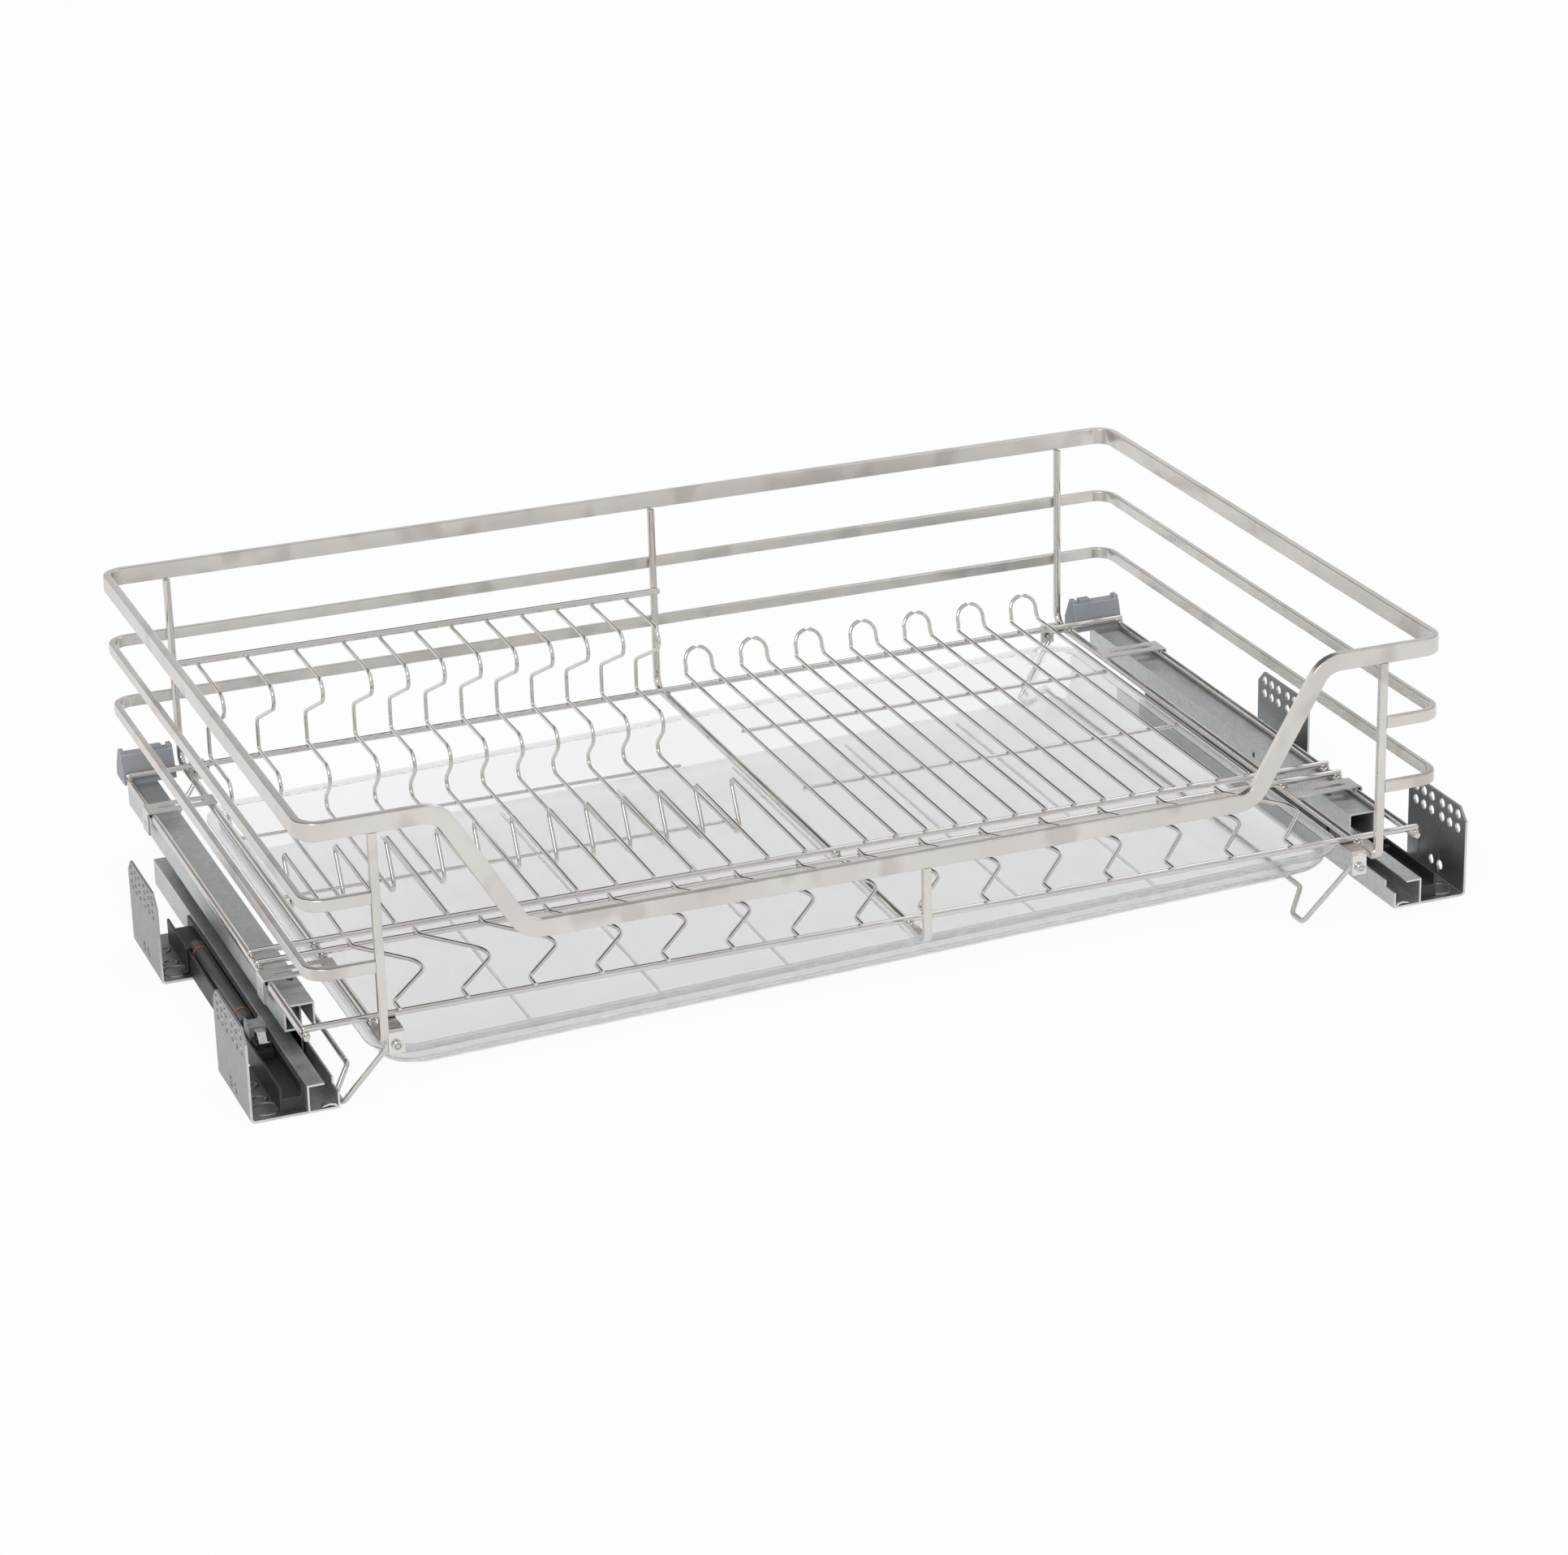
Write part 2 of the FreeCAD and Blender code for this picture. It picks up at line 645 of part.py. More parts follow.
def straight_wires():
    setback = "(basket_width / 2 - cross_wire_setback)"
    group("cross_wires", [
        rod(name, "cross_wire_diameter", f"2 * {setback}", (f"-{setback}", line, "wire_level"), "X")
        for name, line in [("front_cross_wire", FRONT_WIRE), ("bowl_cross_wire", BOWL_WIRE),
                           ("rack_cross_wire", RACK_WIRE), ("rear_cross_wire", REAR_WIRE)]
    ])
    start = f"({FRONT_WIRE} - outer_wire_overhang)"
    outer = "(basket_width / 2 - outer_wire_setback)"
    group("outer_side_wires", [
        rod(name, "side_wire_diameter", f"{REAR_WIRE} - {start}", (place, start, SIDE_LEVEL), "Y")
        for name, place in [("left_side_wire", f"-{outer}"), ("right_side_wire", outer)]
    ])
    group("back_bar", [
        rod("plate_back_bar", "back_bar_diameter",
            "side_post_place + middle_post_place + side_wire_diameter",
            ("-side_post_place - side_wire_diameter / 2", BACK_BAR_LINE, BACK_BAR_LEVEL), "X")
    ])
    first = "(basket_width / 2 - plate_wire_inset + wire_overhang)"
    length = f"{first} + floor_wire_end"
    group("plate_floor_wires", [
        rod(name, "floor_wire_diameter", length, (f"-{first}", line, FLOOR_WIRE_LEVEL), "X")
        for name, line in [("plate_floor_front", "floor_wire_front"), ("plate_floor_rear", "floor_wire_rear")]
    ])
    legs = "(2 * rack_loop_count - 1) * rack_leg_pitch"
    level = f"{THIN_LEVEL} - thin_wire_diameter - weld_gap"
    start = "middle_post_place + rack_first_inset - wire_overhang"
    group("rack_tie_wires", [
        rod(name, "thin_wire_diameter", f"{legs} + 2 * wire_overhang", (start, line, level), "X")
        for name, line in [("rack_tie_front", "rack_wire_front"), ("rack_tie_rear", "rack_wire_rear")]
    ])


def plate_wires():
    """Wires that a plate leans on: a back rest, a trough for its edge, and a loop before it."""
    top = f"({BACK_BAR_LEVEL} - (back_bar_diameter + thin_wire_diameter) / 2 - weld_gap)"
    upright = f"({REAR_WIRE} + plate_wire_clearance + thin_wire_diameter / 2)"
    foot = f"({upright} - plate_trough_rear)"
    front = "plate_trough_front"
    lift = f"({THIN_LEVEL} + plate_loop_rise)"
    corners = [
        ("0", f"{BACK_BAR_LINE} + wire_overhang", top, None),
        ("0", f"{BACK_BAR_LINE} - plate_back_reach", top, "back_bend_radius"),
        ("0", upright, f"{top} - plate_back_fall", "trough_bend_radius"),
        ("0", upright, THIN_LEVEL, "kink_radius"),
        ("0", foot, THIN_LEVEL, "back_bend_radius"),
        ("0", f"{foot} + plate_trough_lean", TROUGH_LEVEL, "trough_bend_radius"),
        ("0", front, TROUGH_LEVEL, "trough_bend_radius"),
        ("0", f"{front} + plate_loop_lean", lift, "loop_bend_radius"),
        ("0", f"{RACK_WIRE} - wire_overhang", THIN_LEVEL, None),
    ]
    first = size("plate_wire_inset - basket_width / 2")
    wide, close = size("wide_slot_pitch"), size("close_slot_pitch")
    count = int(size("wide_slot_count"))
    shifts = [first + wide * i for i in range(count)]
    bent_wires("plate_wires_wide", corners, "thin_wire_diameter", THIN_SIDES, (0, 0, 1), shifts)
    shifts = [shifts[-1] + close * (i + 1) for i in range(int(size("close_slot_count")))]
    bent_wires("plate_wires_close", corners, "thin_wire_diameter", THIN_SIDES, (0, 0, 1), shifts)


def bowl_wires():
    """Flat wires that swing sideways, so that a bowl or glass stands between two of them."""
    near = f"({BOWL_WIRE} - bowl_bend_setback)"
    far = f"({FRONT_WIRE} + bowl_bend_setback)"
    corners = [
        ("0", f"{BOWL_WIRE} + leg_overhang", THIN_LEVEL, None),
        ("0", near, THIN_LEVEL, "bowl_bend_radius"),
        ("bowl_wire_swing", f"({near} + {far}) / 2", THIN_LEVEL, "bowl_peak_radius"),
        ("0", far, THIN_LEVEL, "bowl_bend_radius"),
        ("0", f"{FRONT_WIRE} - bowl_wire_overhang", THIN_LEVEL, None),
    ]
    first, pitch = size("bowl_wire_inset - basket_width / 2"), size("bowl_wire_pitch")
    shifts = [first + pitch * i for i in range(int(size("bowl_wire_count")))]
    bent_wires("bowl_wires", corners, "thin_wire_diameter", THIN_SIDES, (0, 0, 1), shifts)


def rack_loops():
    """Pairs of legs joined behind by a raised round loop that leans back."""
    start = f"({RACK_WIRE} - leg_overhang)"
    foot = f"({BACK} - rack_loop_setback)"
    top_y, top_z = f"({foot} + rack_loop_back)", f"({THIN_LEVEL} + rack_loop_rise)"
    bend, crown = "rack_bend_radius", "rack_leg_pitch / 2"
    leg, other = "0", "rack_leg_pitch"
    corners = [
        (leg, start, THIN_LEVEL, None),
        (leg, foot, THIN_LEVEL, bend),
        (leg, top_y, top_z, crown),
        (other, top_y, top_z, crown),
        (other, foot, THIN_LEVEL, bend),
        (other, start, THIN_LEVEL, None),
    ]
    first, pitch = size("middle_post_place + rack_first_inset"), size("rack_leg_pitch")
    shifts = [first + 2 * pitch * i for i in range(int(size("rack_loop_count")))]
    bent_wires("rack_loops", corners, "thin_wire_diameter", THIN_SIDES, (0, 0, 1), shifts)


def sided(side, corners):
    """A cross-section drawn for the right side, moved to the side asked for."""
    return [(f"{side} * ({corner[0]})", *corner[1:]) for corner in corners]


def drawer_rail(label, side):
    body = make_body(label)
    inner, outer = DRAWER_INNER, f"({DRAWER_INNER} + drawer_rail_width)"
    wall = "sheet_thickness"
    bottom = f"({DRAWER_TOP} - drawer_rail_height)"
    section = [
        (inner, DRAWER_TOP),
        (inner, bottom),
        (f"{inner} + {wall}", bottom),
        (f"{inner} + {wall}", f"{DRAWER_TOP} - {wall}"),
        (f"{outer} - {wall}", f"{DRAWER_TOP} - {wall}"),
        (f"{outer} - {wall}", f"{bottom} + {wall}"),
        (f"{outer} - drawer_rail_lip", f"{bottom} + {wall}"),
        (f"{outer} - drawer_rail_lip", bottom),
        (outer, bottom),
        (outer, DRAWER_TOP),
    ]
    pad(body, "profile", "XZ_Plane", sided(side, section), DRAWER_FRONT, DRAWER_LENGTH)


def cabinet_rail(label, side):
    body = make_body(label)
    inner, outer, wall = CABINET_INNER, CABINET_OUTER, "sheet_thickness"
    low, high = "bracket_thickness", "(bracket_thickness + cabinet_rail_height)"
    sill = f"({high} - cabinet_rail_sill)"
    section = [
        (inner, sill),
        (inner, low),
        (outer, low),
        (outer, high),
        (f"{outer} - cabinet_rail_flange", high),
        (f"{outer} - cabinet_rail_flange", f"{high} - {wall}"),
        (f"{outer} - {wall}", f"{high} - {wall}"),
        (f"{outer} - {wall}", f"{low} + {wall}"),
        (f"{inner} + {wall}", f"{low} + {wall}"),
        (f"{inner} + {wall}", sill),
    ]
    pad(body, "profile", "XZ_Plane", sided(side, section), CABINET_FRONT, "cabinet_rail_length")
    root, floor = f"({inner} + {wall})", f"({low} + {wall})"
    tongue = [
        (root, floor),
        (f"{root} + tongue_reach / 8", f"{floor} + tongue_rise * 0.75"),
        (f"{root} + tongue_reach / 2", f"{floor} + tongue_rise"),
        (f"{root} + tongue_reach * 0.85", f"{floor} + tongue_rise * 0.7"),
        (f"{root} + tongue_reach", f"{floor} + tongue_rise / 4"),
        (f"{root} + tongue_reach * 0.8", f"{floor} + tongue_rise * 0.35"),
        (f"{root} + tongue_reach / 2", f"{floor} + tongue_rise - {wall}"),
        (f"{root} + tongue_reach / 4", f"{floor} + tongue_rise * 0.3"),
        (f"{root} + {wall}", floor),
    ]
    pad(body, "tongue", "XZ_Plane", sided(side, tongue), CABINET_FRONT, "tongue_depth")
    start = f"{inner}" if side == "1" else f"-{inner} - {wall}"
    notch = rectangle(CABINET_FRONT, f"{sill} - rail_notch_depth",
                      f"{CABINET_FRONT} + rail_notch_length", f"{sill} + {wall}")
    pocket(body, "notch", "YZ_Plane", start, wall, notch)


def middle_runner(label, side):
    body = make_body(label)
    inner, wall = RUNNER_INNER, "sheet_thickness"
    section = [
        (inner, RUNNER_BOTTOM),
        (RUNNER_FOOT, RUNNER_BOTTOM),
        (RUNNER_FOOT, f"{RUNNER_BOTTOM} + {wall}"),
        (f"{inner} + {wall}", f"{RUNNER_BOTTOM} + {wall}"),
        (f"{inner} + {wall}", f"{RUNNER_TOP} - {wall}"),
        (RUNNER_HEAD, f"{RUNNER_TOP} - {wall}"),
        (RUNNER_HEAD, RUNNER_TOP),
        (inner, RUNNER_TOP),
    ]
    pad(body, "profile", "XZ_Plane", sided(side, section), RUNNER_FRONT, "middle_runner_length")


def roller_cage(name, side_name, side, start, middle, reach, strip):
    """A plastic cage with a window for each roller, and the rollers that it keeps apart."""
    body = make_body(f"{name}_cage_{side_name}")
    low, high = f"({middle} - cage_thickness / 2)", f"({middle} + cage_thickness / 2)"
    inner = CAGE_INNER if strip else f"({RUNNER_INNER} + sheet_thickness / 2)"
    section = [(inner, low), (reach, low), (reach, high)]
    if strip:
        section += [(f"{inner} + cage_thickness", high), (f"{inner} + cage_thickness", "cage_strip_top"),
                    (inner, "cage_strip_top")]
    else:
        section += [(inner, high)]
    pad(body, "plate", "XZ_Plane", sided(side, section), start, "cage_length")
    line = f"({RUNNER_INNER} + {reach} - roller_length) / 2 + sheet_thickness / 2"
    play = "running_clearance"
    first = f"({start} + cage_length / 2 - (roller_count - 1) * roller_pitch / 2)"
    window = rectangle(f"{line} - {play}", f"{first} - roller_diameter / 2 - {play}",
                       f"{line} + roller_length + {play}", f"{first} + roller_diameter / 2 + {play}")
    hole = pocket(body, "window", "XY_Plane", low, "cage_thickness", sided(side, window))
    row_of(body, "windows", hole, "Y_Axis", "roller_pitch", "roller_count")
    begin = line if side == "1" else f"-({line}) - roller_length"
    rollers = []
    for number in range(int(size("roller_count"))):
        place = (begin, f"{first} + {number} * roller_pitch", middle)
        label = f"{name}_roller_{side_name}_{number + 1}"
        rollers.append(rod(label, "roller_diameter", "roller_length", place, "X"))
    group(f"{name}_rollers_{side_name}", rollers)


def bracket(label, side, front):
    """A pressed angle that screws to the side of the cabinet and carries the rail on its foot."""
    body = make_body(f"{label}_blank", finished=False)
    face, wall = BRACKET_FACE, "bracket_thickness"
    section = [
        (f"{face} - bracket_lap", "0"),
        (face, "0"),
        (face, "bracket_height"),
        (f"{face} - {wall}", "bracket_height"),
        (f"{face} - {wall}", wall),
        (f"{face} - bracket_lap", wall),
    ]
    pad(body, "angle", "XZ_Plane", sided(side, section), front, "bracket_width")
    start = f"{face} - {wall}" if side == "1" else f"-{face}"
    for name, corner, inward in [("front_corner", front, "bracket_corner"),
                                 ("rear_corner", f"({front} + bracket_width)", "-bracket_corner")]:
        cut = [(corner, "bracket_height - bracket_corner"), (corner, "bracket_height"),
               (f"{corner} + {inward}", "bracket_height")]
        pocket(body, name, "YZ_Plane", start, wall, cut)
    width = "(hole_group_pitch + 2 * hole_column_pitch)"
    first = f"({front} + (bracket_width - {width}) / 2)"
    top = "(bracket_height - hole_top_margin)"

    grid = {
        (bank, column, line): (f"{first} + {column} * hole_column_pitch + {bank} * hole_group_pitch",
                               f"{top} - {line} * hole_row_pitch", "hole_diameter")
        for bank in (0, 1) for column in (0, 1, 2) for line in (0, 1)
    }
    fixing = [grid.pop((bank, 1, 0)) for bank in (0, 1)]
    pocket(body, "fixing_holes", "YZ_Plane", start, wall, circles=fixing)
    middle = f"({front} + bracket_width / 2)"
    lower = [
        (f"{middle} + {way} * lower_hole_pitch / 2", "lower_hole_rise", "hole_diameter")
        for way in (-1, 1)
    ]
    punch = doc.addObject("Part::Compound", f"{label}_punches")
    punch.Links = [
        rod(f"{label}_punch_{number}", diameter, f"3 * {wall}",
            (f"{start} - {wall}", across, up), "X", HOLE_SIDES)
        for number, (across, up, diameter) in enumerate([*grid.values(), *lower], start=1)
    ]
    plate = doc.addObject("Part::Cut", label)
    plate.Label = label
    plate.Base, plate.Tool = body, punch
    doc.recompute()
    if not plate.Shape.Volume < body.Shape.Volume - LEAST_CUT:
        raise RuntimeError(f"{label}: the punches cut nothing")
    pieces.append(plate)


def damper(side_name, side):
    """The soft-close: a shallow trough, a cylinder held by two rings, and a catch on the piston rod."""
    tray = make_body(f"damper_tray_{side_name}")
    front = f"({FRONT} + damper_tray_front)"
    wall, low = "damper_tray_wall", "bracket_thickness"
    far, top = f"({DAMPER_SIDE} + damper_tray_width)", f"({low} + damper_tray_height)"
    section = [
        (DAMPER_SIDE, low),
        (far, low),
        (far, top),
        (f"{far} - {wall}", top),
        (f"{far} - {wall}", DAMPER_FLOOR),
        (f"{DAMPER_SIDE} + {wall}", DAMPER_FLOOR),
        (f"{DAMPER_SIDE} + {wall}", top),
        (DAMPER_SIDE, top),
    ]
    pad(tray, "channel", "XZ_Plane", sided(side, section), front, "damper_tray_length")
    hollow = rectangle(f"{DAMPER_SIDE} + {wall}", low, f"{far} - {wall}", f"{DAMPER_FLOOR} - {wall}")
    pocket(tray, "hollow", "XZ_Plane", f"{front} + {wall}", f"damper_tray_length - 2 * {wall}",
           sided(side, hollow))
    line = f"{side} * {DAMPER_LINE}"

    barrel = make_body(f"damper_cylinder_{side_name}")
    sketch = new_sketch(barrel, "barrel_outline", "XZ_Plane", DAMPER_FRONT)
    draw_flats(sketch, line, DAMPER_LEVEL, "damper_diameter")
    extrude(barrel, "Pad", "barrel", sketch, "damper_length", "XZ_Plane")
    sketch = new_sketch(barrel, "cap_outline", "XZ_Plane", f"{DAMPER_FRONT} + damper_length")
    draw_flats(sketch, line, DAMPER_LEVEL, "damper_diameter / 2")
    extrude(barrel, "Pad", "cap", sketch, "damper_cap_length", "XZ_Plane")
    bore = [(line, DAMPER_LEVEL, "damper_rod_diameter + 2 * running_clearance", STOUT_SIDES)]
    pocket(barrel, "bore", "XZ_Plane", DAMPER_FRONT, "damper_bore_depth", flats=bore)

    rings = make_body(f"damper_rings_{side_name}")
    sketch = new_sketch(rings, "ring_outline", "XZ_Plane", f"{DAMPER_FRONT} + damper_ring_inset")
    draw_flats(sketch, line, DAMPER_LEVEL, f"2 * {RING_RADIUS}")
    draw_flats(sketch, line, DAMPER_LEVEL, "damper_diameter + 2 * weld_gap")
    ring = extrude(rings, "Pad", "ring", sketch, "damper_ring_length", "XZ_Plane")
    spacing = "damper_length - 2 * damper_ring_inset - damper_ring_length"
    row_of(rings, "ring_pair", ring, "Y_Axis", spacing, "2")

    catch = make_body(f"soft_close_catch_{side_name}")
    width = f"(damper_tray_width - 2 * {wall} - 2 * running_clearance)"
    start = f"{DAMPER_LINE} - {width} / 2" if side == "1" else f"-{DAMPER_LINE} - {width} / 2"
    base, top = f"({DAMPER_FLOOR} + running_clearance)", f"({DAMPER_FLOOR} + catch_height)"
    middle = f"({CATCH_FRONT} + catch_length / 2)"
    outline = [
        (CATCH_FRONT, base),
        (f"{CATCH_FRONT} + catch_length", base),
        (f"{CATCH_FRONT} + catch_length", top),
        (f"{middle} + catch_notch / 2", top),
        (f"{middle} + catch_notch / 2", f"{top} - catch_notch_depth"),
        (f"{middle} - catch_notch / 2", f"{top} - catch_notch_depth"),
        (f"{middle} - catch_notch / 2", f"{top} - catch_notch_depth / 2"),
        (CATCH_FRONT, f"{top} - catch_notch_depth"),
    ]
    pad(catch, "block", "YZ_Plane", outline, start, width)
    begin = f"({CATCH_FRONT} + catch_length)"
    sketch = new_sketch(catch, "rod_outline", "XZ_Plane", begin)
    draw_flats(sketch, line, DAMPER_LEVEL, "damper_rod_diameter", STOUT_SIDES)
    extrude(catch, "Pad", "rod", sketch, f"{DAMPER_FRONT} - {begin} + damper_rod_reach", "XZ_Plane")


def strap(label, side, line):
    """A slotted strap across the side wires, its outer end folded down beside the drawer rail."""
    body = make_body(label)
    inner = "(side_post_place - side_wire_diameter / 2)"
    outer = "(basket_width / 2 + weld_gap)"
    thick = "strap_thickness"
    section = [
        (inner, f"{STRAP_TOP} - {thick}"),
        (outer, f"{STRAP_TOP} - {thick}"),
        (outer, f"{STRAP_TOP} - strap_tab_drop"),
        (f"{outer} + {thick}", f"{STRAP_TOP} - strap_tab_drop"),
        (f"{outer} + {thick}", STRAP_TOP),
        (inner, STRAP_TOP),
    ]
    start = f"({line} - strap_width / 2)"
    pad(body, "strip", "XZ_Plane", sided(side, section), start, "strap_width")
    middle = f"(({inner} + {outer}) / 2)"
    slot = rectangle(f"{middle} - strap_slot_length / 2", f"{line} - strap_slot_width / 2",
                     f"{middle} + strap_slot_length / 2", f"{line} + strap_slot_width / 2")
    pocket(body, "slot", "XY_Plane", f"{STRAP_TOP} - {thick}", thick, sided(side, slot))
    hole = (line, f"{STRAP_TOP} - strap_tab_drop / 2 - strap_hole_diameter / 2", "strap_hole_diameter")
    begin = outer if side == "1" else f"-{outer} - {thick}"
    pocket(body, "tab_hole", "YZ_Plane", begin, thick, flats=[hole])


def rear_clip(label, side):
    """A moulded cap on the end of the drawer rail: a ridge, a rib at each end and a knob."""
    body = make_body(label)
    inner = "(basket_width / 2 - rear_clip_inner)"
    outer = f"({inner} + rear_clip_width)"
    low = f"({DRAWER_TOP} + weld_gap)"
    high = f"({low} + rear_clip_height)"
    front = f"({REAR_WIRE} + cross_wire_diameter / 2 + weld_gap)"
    back = f"({front} + rear_clip_depth)"
    ridge = (f"({front} + rear_clip_slope)", f"({back} - rear_clip_slope)")
    block = [
        (front, low),
        (back, low),
        (back, f"{low} + rear_clip_height / 3"),
        (ridge[1], high),
        (ridge[0], high),
    ]
    crest = f"({high} + rear_clip_rib_rise)"
    rib = [
        (ridge[0], f"{high} - rear_clip_rib_rise"),
        (ridge[1], f"{high} - rear_clip_rib_rise"),
        (f"{ridge[1]} - rear_clip_rib_rise / 2", crest),
        (f"{ridge[0]} + rear_clip_rib_rise / 2", crest),
    ]
    knob = rectangle(f"{ridge[0]} + rear_clip_rib_rise", f"{high} - rear_clip_rib_rise",
                     ridge[1], f"{high} + rear_clip_knob_rise")
    lengths = [
        ("block", block, inner, "rear_clip_width"),
        ("inner_rib", rib, inner, "rear_clip_rib"),
        ("outer_rib", rib, f"({outer} - rear_clip_rib)", "rear_clip_rib"),
        ("knob", knob, f"({inner} + 2 * rear_clip_rib)", "rear_clip_knob_length"),
    ]
    for name, outline, place, length in lengths:
        start = place if side == "1" else f"-{place} - {length}"
        pad(body, name, "YZ_Plane", outline, start, length)


def tray_clip(label, side, way):
    """A bent plate under a cross wire, drilled for the pin of a tray hanger."""
    body = make_body(label)
    outer = CLIP_FACE
    wire = FRONT_WIRE if way == "-1" else REAR_WIRE
    inner = f"({way} * {wire} - cross_wire_diameter / 2)"
    thick = "clip_thickness"
    section = [
        (inner, CLIP_TOP),
        (outer, CLIP_TOP),
        (outer, "wire_level - clip_drop"),
        (f"{outer} - {thick}", "wire_level - clip_drop"),
        (f"{outer} - {thick}", f"{CLIP_TOP} - {thick}"),
        (inner, f"{CLIP_TOP} - {thick}"),
    ]
    start = "clip_inner" if side == "1" else "-clip_inner - clip_width"
    pad(body, "plate", "YZ_Plane", sided(way, section), start, "clip_width")
    begin = f"{outer} - {thick}" if way == "1" else f"-{outer}"
    hole = (f"{side} * pivot_place", PIVOT_LEVEL, "pin_hole_diameter")
    pocket(body, "pin_hole", "XZ_Plane", begin, thick, flats=[hole])


def collars(label, side):
    """Collars pressed on the ends of a hanger, outside its clips."""
    body = make_body(label)
    outer = f"({CLIP_FACE} + running_clearance)"
    for name, start in [("rear", outer), ("front", f"-{outer} - collar_length")]:
        sketch = new_sketch(body, f"{name}_outline", "XZ_Plane", start)
        place = (f"{side} * pivot_place", PIVOT_LEVEL)
        draw_flats(sketch, *place, "collar_diameter")
        draw_flats(sketch, *place, f"hanger_diameter / {math.cos(math.pi / THIN_SIDES):.6f} + 2 * weld_gap")
        extrude(body, "Pad", f"{name}_collar", sketch, "collar_length", "XZ_Plane")


def hanger(label, side):
    """A wire bail on two pins. It leans on the cabinet floor here, and holds the tray when it hangs."""
    tip = f"({CLIP_FACE} + collar_length + 2 * running_clearance)"
    neck = f"({tip} - hanger_pin_length)"
    foot = f"({neck} - hanger_leg_slant)"
    inner = f"({foot} - hanger_foot_length)"
    run = f"({inner} - hanger_jog)"
    bend = "hanger_bend_radius"
    half = [(tip, "0", None), (neck, "0", bend), (foot, "hanger_leg", bend),
            (inner, "hanger_leg", bend), (run, "hanger_run_drop", bend)]
    out, fall = size("hanger_lean_out"), size("hanger_lean_down")
    slant = math.hypot(out, fall)
    across, down = f"-{out / slant}", f"-{fall / slant}"
    place = f"{side} * pivot_place"
    corners = []
    for way, points in (("-1", half), ("1", half[::-1])):
        for along, drop, radius in points:
            corners.append((f"{place} + {across} * {drop}", f"{way} * {along}",
                            f"{PIVOT_LEVEL} + {down} * {drop}", radius))
    bent_wires(label, corners, "hanger_diameter", THIN_SIDES, (0, 0, 1), [0])


def drip_tray():
    """A clear moulded tray, a rim round a sloping wall, lying tilted on the right hanger."""
    body = make_body("drip_tray")

    def outline(inset_side, inset_end, radius):
        side, front = f"(tray_half_width - {inset_side})", f"(tray_front - {inset_end})"
        rear = f"(tray_rear - {inset_end})"
        return [(f"-{side}", f"-{front}", radius), (side, f"-{front}", radius),
                (side, rear, radius), (f"-{side}", rear, radius)]

    def sketched(name, level, inset_side, inset_end, radius):
        sketch = new_sketch(body, name, "XY_Plane", level)
        draw(sketch, outline(inset_side, inset_end, radius))
        return sketch

    def loft(kind, name, lower, upper):
        feature = body.newObject(f"PartDesign::{kind}", name)
        feature.Profile = lower
        feature.Sections = [upper]
        feature.Ruled = True
        doc.recompute()
        return feature

    wall = "tray_wall"
    base_side, base_end = "(tray_rim + tray_slope_side)", "(tray_rim + tray_slope_end)"
    bend = "tray_corner_radius - tray_rim"
    loft("AdditiveLoft", "slope",
         sketched("base", "0", base_side, base_end, bend),
         sketched("shoulder", "tray_slope_height", "tray_rim", "tray_rim", bend))
    sketch = sketched("upright", "tray_slope_height", "tray_rim", "tray_rim", bend)
    extrude(body, "Pad", "wall", sketch, "tray_depth - tray_slope_height", "XY_Plane")
    sketch = sketched("rim_outline", "tray_depth - tray_rim_thickness", "0", "0", "tray_corner_radius")
    extrude(body, "Pad", "rim", sketch, "tray_rim_thickness", "XY_Plane")
    bend = f"tray_corner_radius - tray_rim - {wall}"
    sketch = sketched("mouth", "tray_slope_height", f"(tray_rim + {wall})", f"(tray_rim + {wall})", bend)
    extrude(body, "Pocket", "hollow", sketch, "tray_depth - tray_slope_height", "XY_Plane")
    loft("SubtractiveLoft", "well",
         sketched("floor", wall, f"({base_side} + {wall})", f"({base_end} + {wall})", bend),
         sketched("lip", "tray_slope_height", f"(tray_rim + {wall})", f"(tray_rim + {wall})", bend))
    half = "(tray_rib_pitch * (tray_rib_count - 1) / 2)"
    end = f"({base_end} + 2 * {wall} + rail_corner_radius)"
    rib = rectangle(f"-{half} - tray_rib_width / 2", f"{end} - tray_front",
                    f"-{half} + tray_rib_width / 2", f"tray_rear - {end}")
    ribs = pad(body, "rib", "XY_Plane", rib, wall, "tray_rib_height")
    row_of(body, "ribs", ribs, "X_Axis", "tray_rib_pitch", "tray_rib_count")
    tilt = math.atan2(size("tray_tilt_rise"), size("tray_tilt_run"))
    edge = size(f"tray_half_width - {base_side}")
    lift = size("running_clearance") + edge * math.sin(tilt)
    turn = FreeCAD.Rotation(FreeCAD.Vector(0, 1, 0), -math.degrees(tilt))
    body.Placement = FreeCAD.Placement(FreeCAD.Vector(0, 0, lift), turn)


SIDES = [("left", "-1"), ("right", "1")]

